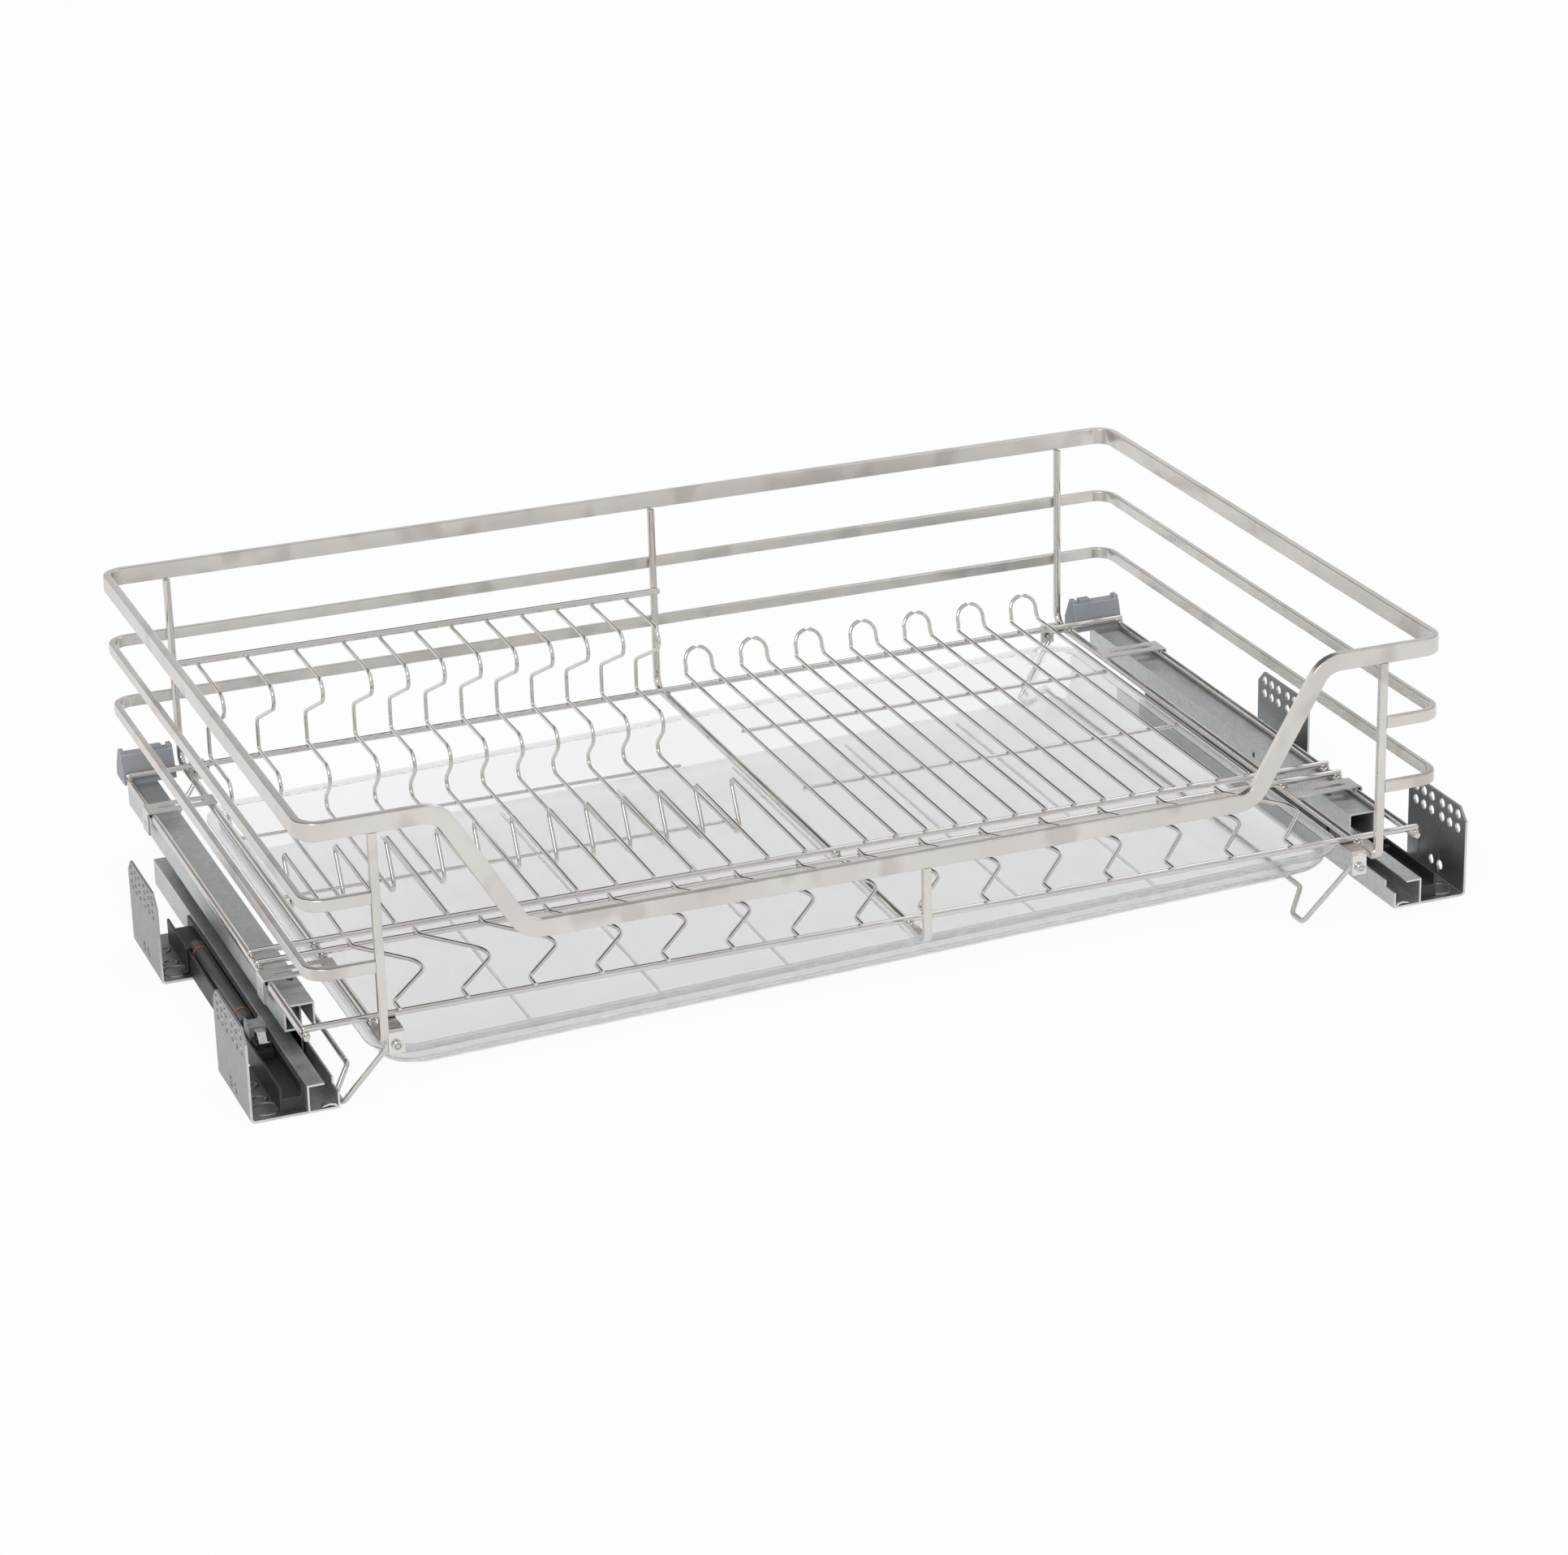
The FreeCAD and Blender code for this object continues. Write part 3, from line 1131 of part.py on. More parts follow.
top_rail()
side_band("middle_rail", "middle_rail_rise")
side_band("lower_rail", "lower_rail_rise")
RAIL_UNDERSIDE = "wire_level + top_rail_rise - top_bar_height"
front_post("front_side_posts", ["-side_post_place", "side_post_place"], RAIL_UNDERSIDE)
front_post("front_middle_post", ["middle_post_place"], f"{RAIL_UNDERSIDE} - dip_fall")
frame_wires()
straight_wires()
plate_wires()
bowl_wires()
rack_loops()
for side_name, side in SIDES:
    drawer_rail(f"drawer_rail_{side_name}", side)
    cabinet_rail(f"cabinet_rail_{side_name}", side)
    middle_runner(f"middle_runner_{side_name}", side)
    roller_middle = f"(bracket_thickness + sheet_thickness + {ROLLER_GAP} / 2)"
    roller_cage("lower", side_name, side, f"({FRONT} + lower_cage_front)", roller_middle, RUNNER_FOOT, True)
    roller_middle = f"({RUNNER_TOP} + {ROLLER_GAP} / 2)"
    roller_cage("upper", side_name, side, f"({FRONT} + upper_cage_front)", roller_middle, RUNNER_HEAD, False)
    bracket(f"front_bracket_{side_name}", side, BRACKET_FRONT)
    bracket(f"rear_bracket_{side_name}", side, f"({BRACKET_FRONT} + bracket_pitch)")
    damper(side_name, side)
    strap(f"front_strap_{side_name}", side, f"({FRONT} + strap_front)")
    strap(f"rear_strap_{side_name}", side, f"({FRONT} + strap_front + strap_pitch)")
    rear_clip(f"rear_clip_{side_name}", side)
    tray_clip(f"front_tray_clip_{side_name}", side, "-1")
    tray_clip(f"rear_tray_clip_{side_name}", side, "1")
    hanger(f"hanger_{side_name}", side)
    collars(f"hanger_collars_{side_name}", side)
drip_tray()

doc.recompute()
for item in doc.Objects:
    if "Invalid" in item.State or "Error" in item.State:
        raise RuntimeError(f"{item.Name} did not compute: {item.State}")
for piece in pieces:
    if piece.Shape.isNull() or not piece.Shape.isValid():
        raise RuntimeError(f"{piece.Label} has no valid shape")

os.makedirs("parts", exist_ok=True)
for piece in pieces:
    piece.Shape.exportStep(f"parts/{piece.Label}.step")
    box = piece.Shape.BoundBox
    print(f"{piece.Label}: {len(piece.Shape.Solids)} solids, "
          f"x {box.XMin:.1f} to {box.XMax:.1f}, y {box.YMin:.1f} to {box.YMax:.1f}, "
          f"z {box.ZMin:.1f} to {box.ZMax:.1f}")
print(len(pieces), "pieces")
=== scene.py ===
# %% [markdown]
# # A pull-out dish rack
#
# The rack is a basket of bent steel bars and wires on two roller slides. The exact pieces come in
# from the frame. This lesson dresses them: round wires instead of flat-sided ones, bars with eased
# edges, pressed plates with drilled holes, a clear moulded tray, and a finish for each material.

# %% Bring in the frame
import json
from itertools import product
from math import atan2, cos, pi, radians, sin, sqrt, tan

import bmesh
import bpy
from mathutils import Matrix, Vector


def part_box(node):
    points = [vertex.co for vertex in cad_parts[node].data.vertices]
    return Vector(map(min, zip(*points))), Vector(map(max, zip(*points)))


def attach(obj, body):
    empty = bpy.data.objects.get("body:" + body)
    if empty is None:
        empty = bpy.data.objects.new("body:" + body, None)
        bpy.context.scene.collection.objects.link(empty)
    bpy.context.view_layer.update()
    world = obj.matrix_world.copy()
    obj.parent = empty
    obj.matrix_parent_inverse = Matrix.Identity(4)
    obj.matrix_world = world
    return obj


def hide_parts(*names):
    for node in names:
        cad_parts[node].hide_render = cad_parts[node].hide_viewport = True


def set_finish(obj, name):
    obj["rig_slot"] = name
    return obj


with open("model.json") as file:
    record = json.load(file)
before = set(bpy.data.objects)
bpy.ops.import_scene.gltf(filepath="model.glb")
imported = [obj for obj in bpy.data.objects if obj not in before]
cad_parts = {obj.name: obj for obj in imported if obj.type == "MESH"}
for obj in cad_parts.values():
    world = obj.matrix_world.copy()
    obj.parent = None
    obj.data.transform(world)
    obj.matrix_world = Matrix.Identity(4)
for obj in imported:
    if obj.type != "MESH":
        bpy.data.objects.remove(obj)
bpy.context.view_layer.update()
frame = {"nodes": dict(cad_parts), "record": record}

# %% [markdown]
# ## Sizes
#
# Every length is in metres. The few that drive the wires are written once, and places are read
# from the frame where it has them: a cross wire, for one, gives the level of the whole floor.

# %% Name the sizes that drive the wires
MM = 0.001
LEFT, RIGHT = -1, 1
SIDES = {"left": LEFT, "right": RIGHT}

X = Vector((1, 0, 0))
Y = Vector((0, 1, 0))
Z = Vector((0, 0, 1))

cross_low, cross_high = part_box("cross_wires")
CROSS_WIRE = 4 * MM
THIN_WIRE = 2.6 * MM
SIDE_WIRE = 5 * MM
BACK_BAR = 4.5 * MM
FLOOR_WIRE = 2.2 * MM
BAIL_WIRE = 3.2 * MM
WELD_GAP = 0.05 * MM

FLOOR_LEVEL = (cross_low.z + cross_high.z) / 2
THIN_LEVEL = FLOOR_LEVEL + (CROSS_WIRE + THIN_WIRE) / 2 + WELD_GAP
SIDE_LEVEL = FLOOR_LEVEL - (CROSS_WIRE + SIDE_WIRE) / 2 - WELD_GAP
FRONT_WIRE = cross_low.y + CROSS_WIRE / 2
REAR_WIRE = cross_high.y - CROSS_WIRE / 2
BOWL_CROSS = FRONT_WIRE + 97.6 * MM
RACK_CROSS = BOWL_CROSS + 16.4 * MM
print("The floor wires lie", round(FLOOR_LEVEL / MM, 2), "mm above the cabinet floor")


# %% [markdown]
# ## A path with rounded corners
#
# A wire or a flat bar is bent on a pin, so its middle line is straight runs joined by arcs. The
# helper takes the sharp corners with a bend radius each, and puts points along each arc.

# %% Round the corners of a path
ARC_STEP = radians(11)


def rounded(corners):
    """Points along straight runs and arcs, from (place, radius) corners."""
    places = [Vector(place) for place, radius in corners]
    points = []
    for i, place in enumerate(places):
        radius = corners[i][1]
        if not radius:
            points.append(place)
            continue
        before = (place - places[i - 1]).normalized()
        after = (places[(i + 1) % len(places)] - place).normalized()
        turn = before.angle(after)
        start = place - before * radius * tan(turn / 2)
        axis = before.cross(after).normalized()
        centre = start + axis.cross(before) * radius
        steps = max(2, round(turn / ARC_STEP))
        for k in range(steps + 1):
            spoke = Matrix.Rotation(turn * k / steps, 3, axis) @ (start - centre)
            points.append(centre + spoke)
    return points


# %% [markdown]
# ## Sweep a section along a path
#
# One ring of edges stands at the start of the path. It is extruded to the next point, turned with
# the path, and so on, as a draw bench would pull the wire. A bar keeps its flat side level, so the
# turning frame follows a fixed direction, given as `level`.

# %% Pull a ring of edges along a path
WIRE_SIDES = 12


def frames_along(path, level, closed):
    """A matrix at each point: local x is the side of the section, local y its height."""
    made = []
    count = len(path)
    for i, point in enumerate(path):
        ahead = path[(i + 1) % count] if closed or i < count - 1 else None
        behind = path[i - 1] if closed or i > 0 else None
        run = Vector((0, 0, 0))
        if ahead is not None:
            run += (ahead - point).normalized()
        if behind is not None:
            run += (point - behind).normalized()
        run.normalize()
        side = run.cross(level).normalized()
        high = side.cross(run)
        made.append(Matrix((side, high, run)).transposed().to_4x4())
        made[-1].translation = point
    return made


def points_in(geometry):
    return [part for part in geometry if isinstance(part, bmesh.types.BMVert)]


def grow(bm, edges):
    """Extrude a ring of edges where it stands, and return the new ring and its points."""
    grown = bmesh.ops.extrude_edge_only(bm, edges=edges)["geom"]
    verts = points_in(grown)
    ring = [e for e in grown if isinstance(e, bmesh.types.BMEdge) and
            e.verts[0] in verts and e.verts[1] in verts]
    return ring, verts


def sweep(bm, ring, path, level, closed=False):
    """Extrude a flat ring of edges, which lies in the local XY plane, along the path."""
    frames = frames_along(path, level, closed)
    verts = list({v for edge in ring for v in edge.verts})
    bmesh.ops.transform(bm, matrix=frames[0], verts=verts)
    edges = ring
    for last, place in zip(frames, frames[1:]):
        edges, verts = grow(bm, edges)
        bmesh.ops.transform(bm, matrix=place @ last.inverted(), verts=verts)
    if closed:
        bmesh.ops.bridge_loops(bm, edges=ring + edges)
        return []
    return bmesh.ops.holes_fill(bm, edges=ring + edges, sides=0)["faces"]


def round_ring(bm, diameter):
    """The outline of a round wire."""
    made = bmesh.ops.create_circle(bm, segments=WIRE_SIDES, radius=diameter / 2)["verts"]
    return list({edge for v in made for edge in v.link_edges})


def bar_ring(bm, wide, high, ease):
    """The outline of a flat bar with eased corners. It comes first in a bmesh."""
    size = Matrix.Diagonal((wide, high, 1, 1))
    made = bmesh.ops.create_grid(bm, x_segments=1, y_segments=1, size=0.5, matrix=size)["verts"]
    face = made[0].link_faces[0]
    bmesh.ops.bevel(bm, geom=list(face.verts), offset=ease, segments=3, profile=0.5,
                    affect="VERTICES", material=-1)
    faces = list(bm.faces)
    ring = list(faces[-1].edges)
    bmesh.ops.delete(bm, geom=faces, context="FACES_ONLY")
    return ring


# %% [markdown]
# ## From a bmesh to a piece
#
# A piece is one object whose place is in its mesh. It rides on the body of the node that it
# stands for. Edges that turn less than 32 degrees are shaded smooth, and normals weighted by
# area keep the flat faces flat up to their eased corners, so that a corner shows as a line.

# %% Turn a bmesh into a piece
SMOOTH_TURN = radians(32)
bodies_of = {node: body for body, nodes in frame["record"]["behaviour"]["bodies"].items()
             for node in nodes}
slots = {part["node"]: part["material_slot"] for part in frame["record"]["subparts"]}
pieces = []


def piece(bm, name, *nodes, body=None, slot=None):
    """Make the object, stand it in for the frame's nodes, and name the slot of its finish."""
    bmesh.ops.recalc_face_normals(bm, faces=bm.faces)
    mesh = bpy.data.meshes.new(name)
    bm.to_mesh(mesh)
    bm.free()
    for face in mesh.polygons:
        face.use_smooth = True
    mesh.set_sharp_from_angle(angle=SMOOTH_TURN)
    thing = bpy.data.objects.new(name, mesh)
    bpy.context.scene.collection.objects.link(thing)
    flats = thing.modifiers.new("flats", "WEIGHTED_NORMAL")
    flats.keep_sharp = True
    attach(thing, body or bodies_of[nodes[0]])
    if nodes:
        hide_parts(*nodes)
    pieces.append(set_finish(thing, slot or slots[nodes[0]]))
    return thing


def repeat(bm, shifts):
    """A copy of all that is drawn so far at each shift but the first, which moves the original."""
    drawn = list(bm.verts) + list(bm.edges) + list(bm.faces)
    for shift in shifts[1:]:
        copy = bmesh.ops.duplicate(bm, geom=drawn)["geom"]
        bmesh.ops.translate(bm, vec=shift, verts=points_in(copy))
    bmesh.ops.translate(bm, vec=shifts[0], verts=points_in(drawn))


def ease_caps(bm, caps, offset):
    """Break the sharp rim at the ends of a wire."""
    rims = list({edge for face in caps for edge in face.edges})
    bmesh.ops.bevel(bm, geom=rims, offset=offset, segments=2, profile=0.5, affect="EDGES",
                    material=-1, clamp_overlap=True)


def pull(bm, ring, corners, level, ease):
    """Sweep a ring along rounded corners, and ease both ends."""
    ease_caps(bm, sweep(bm, ring, rounded(corners), level), ease)


# How far the rim of an end is rounded, as a share of the wire's diameter
SAWN, SOFT, DOMED = 0.1, 0.3, 0.42


def wires(name, node, diameter, corners, level, shifts, end=SOFT):
    """Like wires on one bent path for one node of the frame."""
    bm = bmesh.new()
    pull(bm, round_ring(bm, diameter), corners, level, diameter * end)
    repeat(bm, shifts)
    made = piece(bm, name, node)
    print(f"{name}: {len(shifts)} wires, {len(made.data.polygons)} faces")


# %% [markdown]
# ## The floor of the basket
#
# Four wires cross the basket from side to side. Five stout wires run from front to back below
# them. Three of the five turn up at the back and become the rear posts.

# %% Lay the cross wires and the side wires
half_run = cross_high.x
cross_path = [((-half_run, 0, 0), 0), ((half_run, 0, 0), 0)]
lines = [FRONT_WIRE, BOWL_CROSS, RACK_CROSS, REAR_WIRE]
wires("cross_wires_round", "cross_wires", CROSS_WIRE, cross_path, Z,
      [Vector((0, y, FLOOR_LEVEL)) for y in lines], DOMED)

side_low, side_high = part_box("outer_side_wires")
side_path = [((0, side_low.y, 0), 0), ((0, side_high.y, 0), 0)]
side_place = side_high.x - SIDE_WIRE / 2
wires("side_wires_round", "outer_side_wires", SIDE_WIRE, side_path, Z,
      [Vector((x, 0, SIDE_LEVEL)) for x in (-side_place, side_place)], DOMED)

# %% Bend the frame wires up into the rear posts
REAR_BEND = 9 * MM
frame_low, frame_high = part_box("frame_wires")
POST_PLACE = frame_high.x - SIDE_WIRE / 2
MIDDLE_POST = 16 * MM
POST_LINE = frame_high.y - SIDE_WIRE / 2
frame_path = [((0, frame_low.y, 0), 0),
              ((0, POST_LINE, 0), REAR_BEND),
              ((0, POST_LINE, frame_high.z - SIDE_LEVEL), 0)]
wires("frame_wires_round", "frame_wires", SIDE_WIRE, frame_path, X,
      [Vector((x, 0, SIDE_LEVEL)) for x in (-POST_PLACE, MIDDLE_POST, POST_PLACE)], SAWN)

# %% [markdown]
# ## Thin straight wires
#
# A bar at the back holds the tops of the upright wires. Two thin wires tie those together under
# their trough, and two more tie the legs of the loop rack.

# %% Lay the back bar and the tie wires
for name, node, diameter in (("back_bar_round", "back_bar", BACK_BAR),
                             ("plate_ties_round", "plate_floor_wires", FLOOR_WIRE),
                             ("rack_ties_round", "rack_tie_wires", THIN_WIRE)):
    low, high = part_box(node)
    path = [((low.x, 0, 0), 0), ((high.x, 0, 0), 0)]
    level = (low.z + high.z) / 2
    places = {low.y + diameter / 2, high.y - diameter / 2}
    if high.y - low.y < 2 * diameter:
        places = {(low.y + high.y) / 2}
    wires(name, node, diameter, path, Z, [Vector((0, y, level)) for y in sorted(places)])

# %% [markdown]
# ## The plate wires
#
# Twelve bent wires make the upright slots. From the back bar each one comes forward, drops, kinks
# over the rear cross wire, curls under into a trough, and rises again in front as a small loop.
# All bends are in one upright plane, so a corner is a line, a level and a bend radius.

# %% Bend the plate wires
bar_low, bar_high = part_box("back_bar")
BAR_LINE = (bar_low.y + bar_high.y) / 2
BAR_LEVEL = (bar_low.z + bar_high.z) / 2
PLATE_TOP = BAR_LEVEL - (BACK_BAR + THIN_WIRE) / 2 - WELD_GAP
TOP_REACH, TOP_DROP = 88 * MM, 36.4 * MM
REST_LINE = REAR_WIRE + 0.5 * MM + THIN_WIRE / 2
TROUGH_REAR = REST_LINE - 63 * MM
TROUGH_SLOPE = 33.4 * MM
TROUGH_LEVEL = THIN_LEVEL - 32.4 * MM
LOOP_FRONT, LOOP_LEAN, LOOP_RISE = 15.6 * MM, 18.6 * MM, 1.7 * MM
PAST_WELD = 1.5 * MM
plate_bends = [
    (BAR_LINE + PAST_WELD, PLATE_TOP, 0),
    (BAR_LINE - TOP_REACH, PLATE_TOP, 8 * MM),
    (REST_LINE, PLATE_TOP - TOP_DROP, 6 * MM),
    (REST_LINE, THIN_LEVEL, 3 * MM),
    (TROUGH_REAR, THIN_LEVEL, 8 * MM),
    (TROUGH_REAR + TROUGH_SLOPE, TROUGH_LEVEL, 6 * MM),
    (LOOP_FRONT, TROUGH_LEVEL, 6 * MM),
    (LOOP_FRONT + LOOP_LEAN, THIN_LEVEL + LOOP_RISE, 4 * MM),
    (RACK_CROSS - PAST_WELD, THIN_LEVEL, 0),
]
plate_path = [((0, line, level), bend) for line, level, bend in plate_bends]
WIDE_COUNT, WIDE_PITCH = 4, 32 * MM
CLOSE_COUNT, CLOSE_PITCH = 8, 24.1 * MM
FIRST_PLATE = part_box("plate_wires_wide")[0].x + THIN_WIRE / 2 + 0.2 * MM
wide_places = [FIRST_PLATE + WIDE_PITCH * i for i in range(WIDE_COUNT)]
close_places = [wide_places[-1] + CLOSE_PITCH * (i + 1) for i in range(CLOSE_COUNT)]
wires("plate_wires_wide_round", "plate_wires_wide", THIN_WIRE, plate_path, X,
      [Vector((x, 0, 0)) for x in wide_places])
wires("plate_wires_close_round", "plate_wires_close", THIN_WIRE, plate_path, X,
      [Vector((x, 0, 0)) for x in close_places])

# %% [markdown]
# ## The bowl wires
#
# In front, fifteen flat wires swing to the right and back, so that a round thing can stand tilted
# between two of them.

# %% Bend the bowl wires
BOWL_COUNT, BOWL_PITCH = 15, 39.7 * MM
BOWL_SWING, BOWL_INSET = 32.8 * MM, 8 * MM
bowl_near, bowl_far = BOWL_CROSS - BOWL_INSET, FRONT_WIRE + BOWL_INSET
bowl_path = [
    ((0, BOWL_CROSS + 3 * MM, 0), 0),
    ((0, bowl_near, 0), 9 * MM),
    ((BOWL_SWING, (bowl_near + bowl_far) / 2, 0), 16 * MM),
    ((0, bowl_far, 0), 9 * MM),
    ((0, FRONT_WIRE - 4.5 * MM, 0), 0),
]
BASKET_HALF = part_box("top_rail")[1].x
bowl_first = 56.7 * MM - BASKET_HALF
bowl_places = [bowl_first + BOWL_PITCH * i for i in range(BOWL_COUNT)]
wires("bowl_wires_round", "bowl_wires", THIN_WIRE, bowl_path, Z,
      [Vector((x, 0, THIN_LEVEL)) for x in bowl_places])

# %% [markdown]
# ## The loop rack
#
# Fourteen legs run from front to back. Each two are one wire: it rises behind as a keyhole loop,
# which is narrow at its foot and widens to a round head, and leans back a little. The loop turns
# in two planes, so its ring is carried on with the least twist.

# %% Bend the loops
LEG_COUNT, LEG_PITCH = 14, 19.76 * MM
FOOT_TURN, NECK_TURN, HEAD_TURN = 2.6 * MM, 6 * MM, LEG_PITCH / 2 * 0.96
rise = Vector((0, 5.5, 16.6)) * MM
neck = rise * 0.3
pinch = Vector((0.7, 0, 0)) * MM
across = Vector((LEG_PITCH, 0, 0))
leg_end = Vector((0, RACK_CROSS - 3 * MM, 0))
leg = Vector((0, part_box("rack_loops")[1].y - THIN_WIRE / 2 - rise.y, 0))
loop_path = [(leg_end, 0), (leg, FOOT_TURN), (leg + neck + pinch, NECK_TURN),
             (leg + rise, HEAD_TURN), (leg + rise + across, HEAD_TURN),
             (leg + across + neck - pinch, NECK_TURN), (leg + across, FOOT_TURN),
             (leg_end + across, 0)]


def sweep_twistless(bm, ring, path):
    """Extrude a ring along a path, and turn it at each point only as the path turns."""
    verts = list({v for edge in ring for v in edge.verts})
    run = (path[1] - path[0]).normalized()
    start = run.to_track_quat("Z", "X").to_matrix().to_4x4()
    start.translation = path[0]
    bmesh.ops.transform(bm, matrix=start, verts=verts)
    edges = ring
    for i in range(1, len(path)):
        ahead = path[i + 1] - path[i] if i < len(path) - 1 else path[i] - path[i - 1]
        heading = ((path[i] - path[i - 1]).normalized() + ahead.normalized()).normalized()
        swing = run.rotation_difference(heading).to_matrix().to_4x4()
        move = Matrix.Translation(path[i]) @ swing @ Matrix.Translation(-path[i - 1])
        edges, verts = grow(bm, edges)
        bmesh.ops.transform(bm, matrix=move, verts=verts)
        run = heading
    return bmesh.ops.holes_fill(bm, edges=ring + edges, sides=0)["faces"]


loop_first = MIDDLE_POST + 18.5 * MM
leg_places = [loop_first + LEG_PITCH * i for i in range(LEG_COUNT)]
bm = bmesh.new()
caps = sweep_twistless(bm, round_ring(bm, THIN_WIRE), rounded(loop_path))
ease_caps(bm, caps, THIN_WIRE * SOFT)
repeat(bm, [Vector((x, 0, THIN_LEVEL)) for x in leg_places[::2]])
made = piece(bm, "cup_loops_round", "rack_loops")
print("loops:", len(made.data.polygons), "faces")

# %% [markdown]
# ## Weld beads
#
# Where two wires cross they are resistance welded: pressed together, they melt at the touch and
# squeeze out a small bead. Each bead is a low squashed ball in the notch between the wires.

# %% Put a bead at every crossing
SMALL_BEAD, STOUT_BEAD = (3.2 * MM, 2 * MM), (5 * MM, 2.4 * MM)


def beads(name, crossings, bead):
    """Squashed balls, one at each (x, y, z)."""
    wide, high = bead
    bm = bmesh.new()
    for place in crossings:
        squash = Matrix.Translation(place) @ Matrix.Diagonal((wide, wide, high, 1))
        bmesh.ops.create_uvsphere(bm, u_segments=8, v_segments=5, radius=0.5, matrix=squash)
    piece(bm, name, body="basket", slot="bright_wire")
    print(f"{name}: {len(crossings)} beads")


touch_top = (FLOOR_LEVEL + THIN_LEVEL) / 2
touch_below = (FLOOR_LEVEL + SIDE_LEVEL) / 2
plate_places = wide_places + close_places
on_top = [*product(bowl_places, (FRONT_WIRE, BOWL_CROSS), [touch_top]),
          *product(leg_places + plate_places, (RACK_CROSS, REAR_WIRE), [touch_top])]
beads("weld_beads_top", on_top, SMALL_BEAD)
stout = (-side_place, -POST_PLACE, MIDDLE_POST, POST_PLACE, side_place)
beads("weld_beads_below", [*product(stout, lines, [touch_below])], STOUT_BEAD)
beads("weld_beads_back_bar", [(x, BAR_LINE, BAR_LEVEL - BACK_BAR / 2) for x in plate_places],
      SMALL_BEAD)

# %% [markdown]
# ## The bars round the basket
#
# The rails are flat bars bent round the basket with their broad side upright. In front the top
# rail dips, which bends it the hard way, on edge. A swept outline follows both kinds of bend.

# %% Bend the three rails
BASKET_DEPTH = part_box("top_rail")[1].y
CORNER = 14.5 * MM
TOP_BAR = (5 * MM, 10.5 * MM)
SIDE_BAR = (4 * MM, 7 * MM)
EASE, END_EASE = 0.6 * MM, 0.4 * MM


def rail(name, node, bar, corners, closed):
    bm = bmesh.new()
    caps = sweep(bm, bar_ring(bm, *bar, EASE), rounded(corners), Z, closed)
    if caps:
        ease_caps(bm, caps, END_EASE)
    made = piece(bm, name, node)
    print(name, len(made.data.polygons), "faces")


def band(bar, reach, level):
    """The middle line of a bar from the front, round the back, to the front again."""
    x, y = BASKET_HALF - bar[0] / 2, BASKET_DEPTH - bar[0] / 2
    bend = CORNER - bar[0] / 2
    return [((-reach, -y, level), 0), ((-x, -y, level), bend), ((-x, y, level), bend),
            ((x, y, level), bend), ((x, -y, level), bend), ((reach, -y, level), 0)]


# The two lower rails end at the outer side of the front posts
POST_WIDTH = 5 * MM
for name in ("middle_rail", "lower_rail"):
    low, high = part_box(name)
    rail(f"{name}_bar", name, SIDE_BAR,
         band(SIDE_BAR, POST_PLACE + POST_WIDTH / 2, (low.z + high.z) / 2), False)

top_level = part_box("top_rail")[1].z - TOP_BAR[1] / 2
low_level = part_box("top_rail")[0].z + TOP_BAR[1] / 2
front_line = -BASKET_DEPTH + TOP_BAR[0] / 2
SHOULDER, TOE, DIP_BEND = 270 * MM, 224 * MM, 16 * MM
around = band(TOP_BAR, SHOULDER, top_level)[1:-1]
dip = [((x, front_line, level), DIP_BEND)
       for x, level in ((SHOULDER, top_level), (TOE, low_level),
                        (-TOE, low_level), (-SHOULDER, top_level))]
rail("top_rail_bar", "top_rail", TOP_BAR, around + dip, True)

# %% [markdown]
# ## The front posts
#
# Three flat strips stand on the front of the basket. At the foot each one hooks back under the
# floor, so its path lies in an upright plane and its broad side faces the front.

# %% Bend the front posts
POST_DEPTH, POST_BEND, POST_EASE = 4 * MM, 6 * MM, 0.3 * MM


def post(name, node, places):
    low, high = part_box(node)
    line = -BASKET_DEPTH + POST_DEPTH / 2
    corners = [((0, line, high.z), 0), ((0, line, SIDE_LEVEL), POST_BEND),
               ((0, high.y, SIDE_LEVEL), 0)]
    bm = bmesh.new()
    pull(bm, bar_ring(bm, POST_DEPTH, POST_WIDTH, EASE), corners, X, POST_EASE)
    repeat(bm, [Vector((x, 0, 0)) for x in places])
    piece(bm, name, node)


post("front_side_posts_bar", "front_side_posts", (-POST_PLACE, POST_PLACE))
post("front_middle_post_bar", "front_middle_post", (MIDDLE_POST,))

# %% [markdown]
# ## The bails
#
# A bail is a wire handle under the tray. It turns on two pins in clips below the cross wires.
# Here it leans on the cabinet floor. Its path is drawn hanging straight and then swung.

# %% Bend the bails
PIVOT_PLACE = 300 * MM
PIVOT_LEVEL = FLOOR_LEVEL - 11.3 * MM
BAIL_LEAN = atan2(30, 39.1)
BAIL_BEND = 4 * MM
LEG_DROP, RUN_DROP = 47 * MM, 31 * MM
bail_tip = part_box("hanger_right")[1].y
bail_neck = bail_tip - 9.5 * MM
bail_foot = bail_neck - 9.5 * MM
bail_inner = bail_foot - 14 * MM
bail_run = bail_inner - 8 * MM
half_bail = [(bail_tip, 0, 0), (bail_neck, 0, BAIL_BEND), (bail_foot, LEG_DROP, BAIL_BEND),
             (bail_inner, LEG_DROP, BAIL_BEND), (bail_run, RUN_DROP, BAIL_BEND)]
bail_path = [((0, -y, -drop), bend) for y, drop, bend in half_bail]
bail_path += [((0, y, -drop), bend) for y, drop, bend in reversed(half_bail)]
lean = Matrix.Rotation(BAIL_LEAN, 4, "Y")
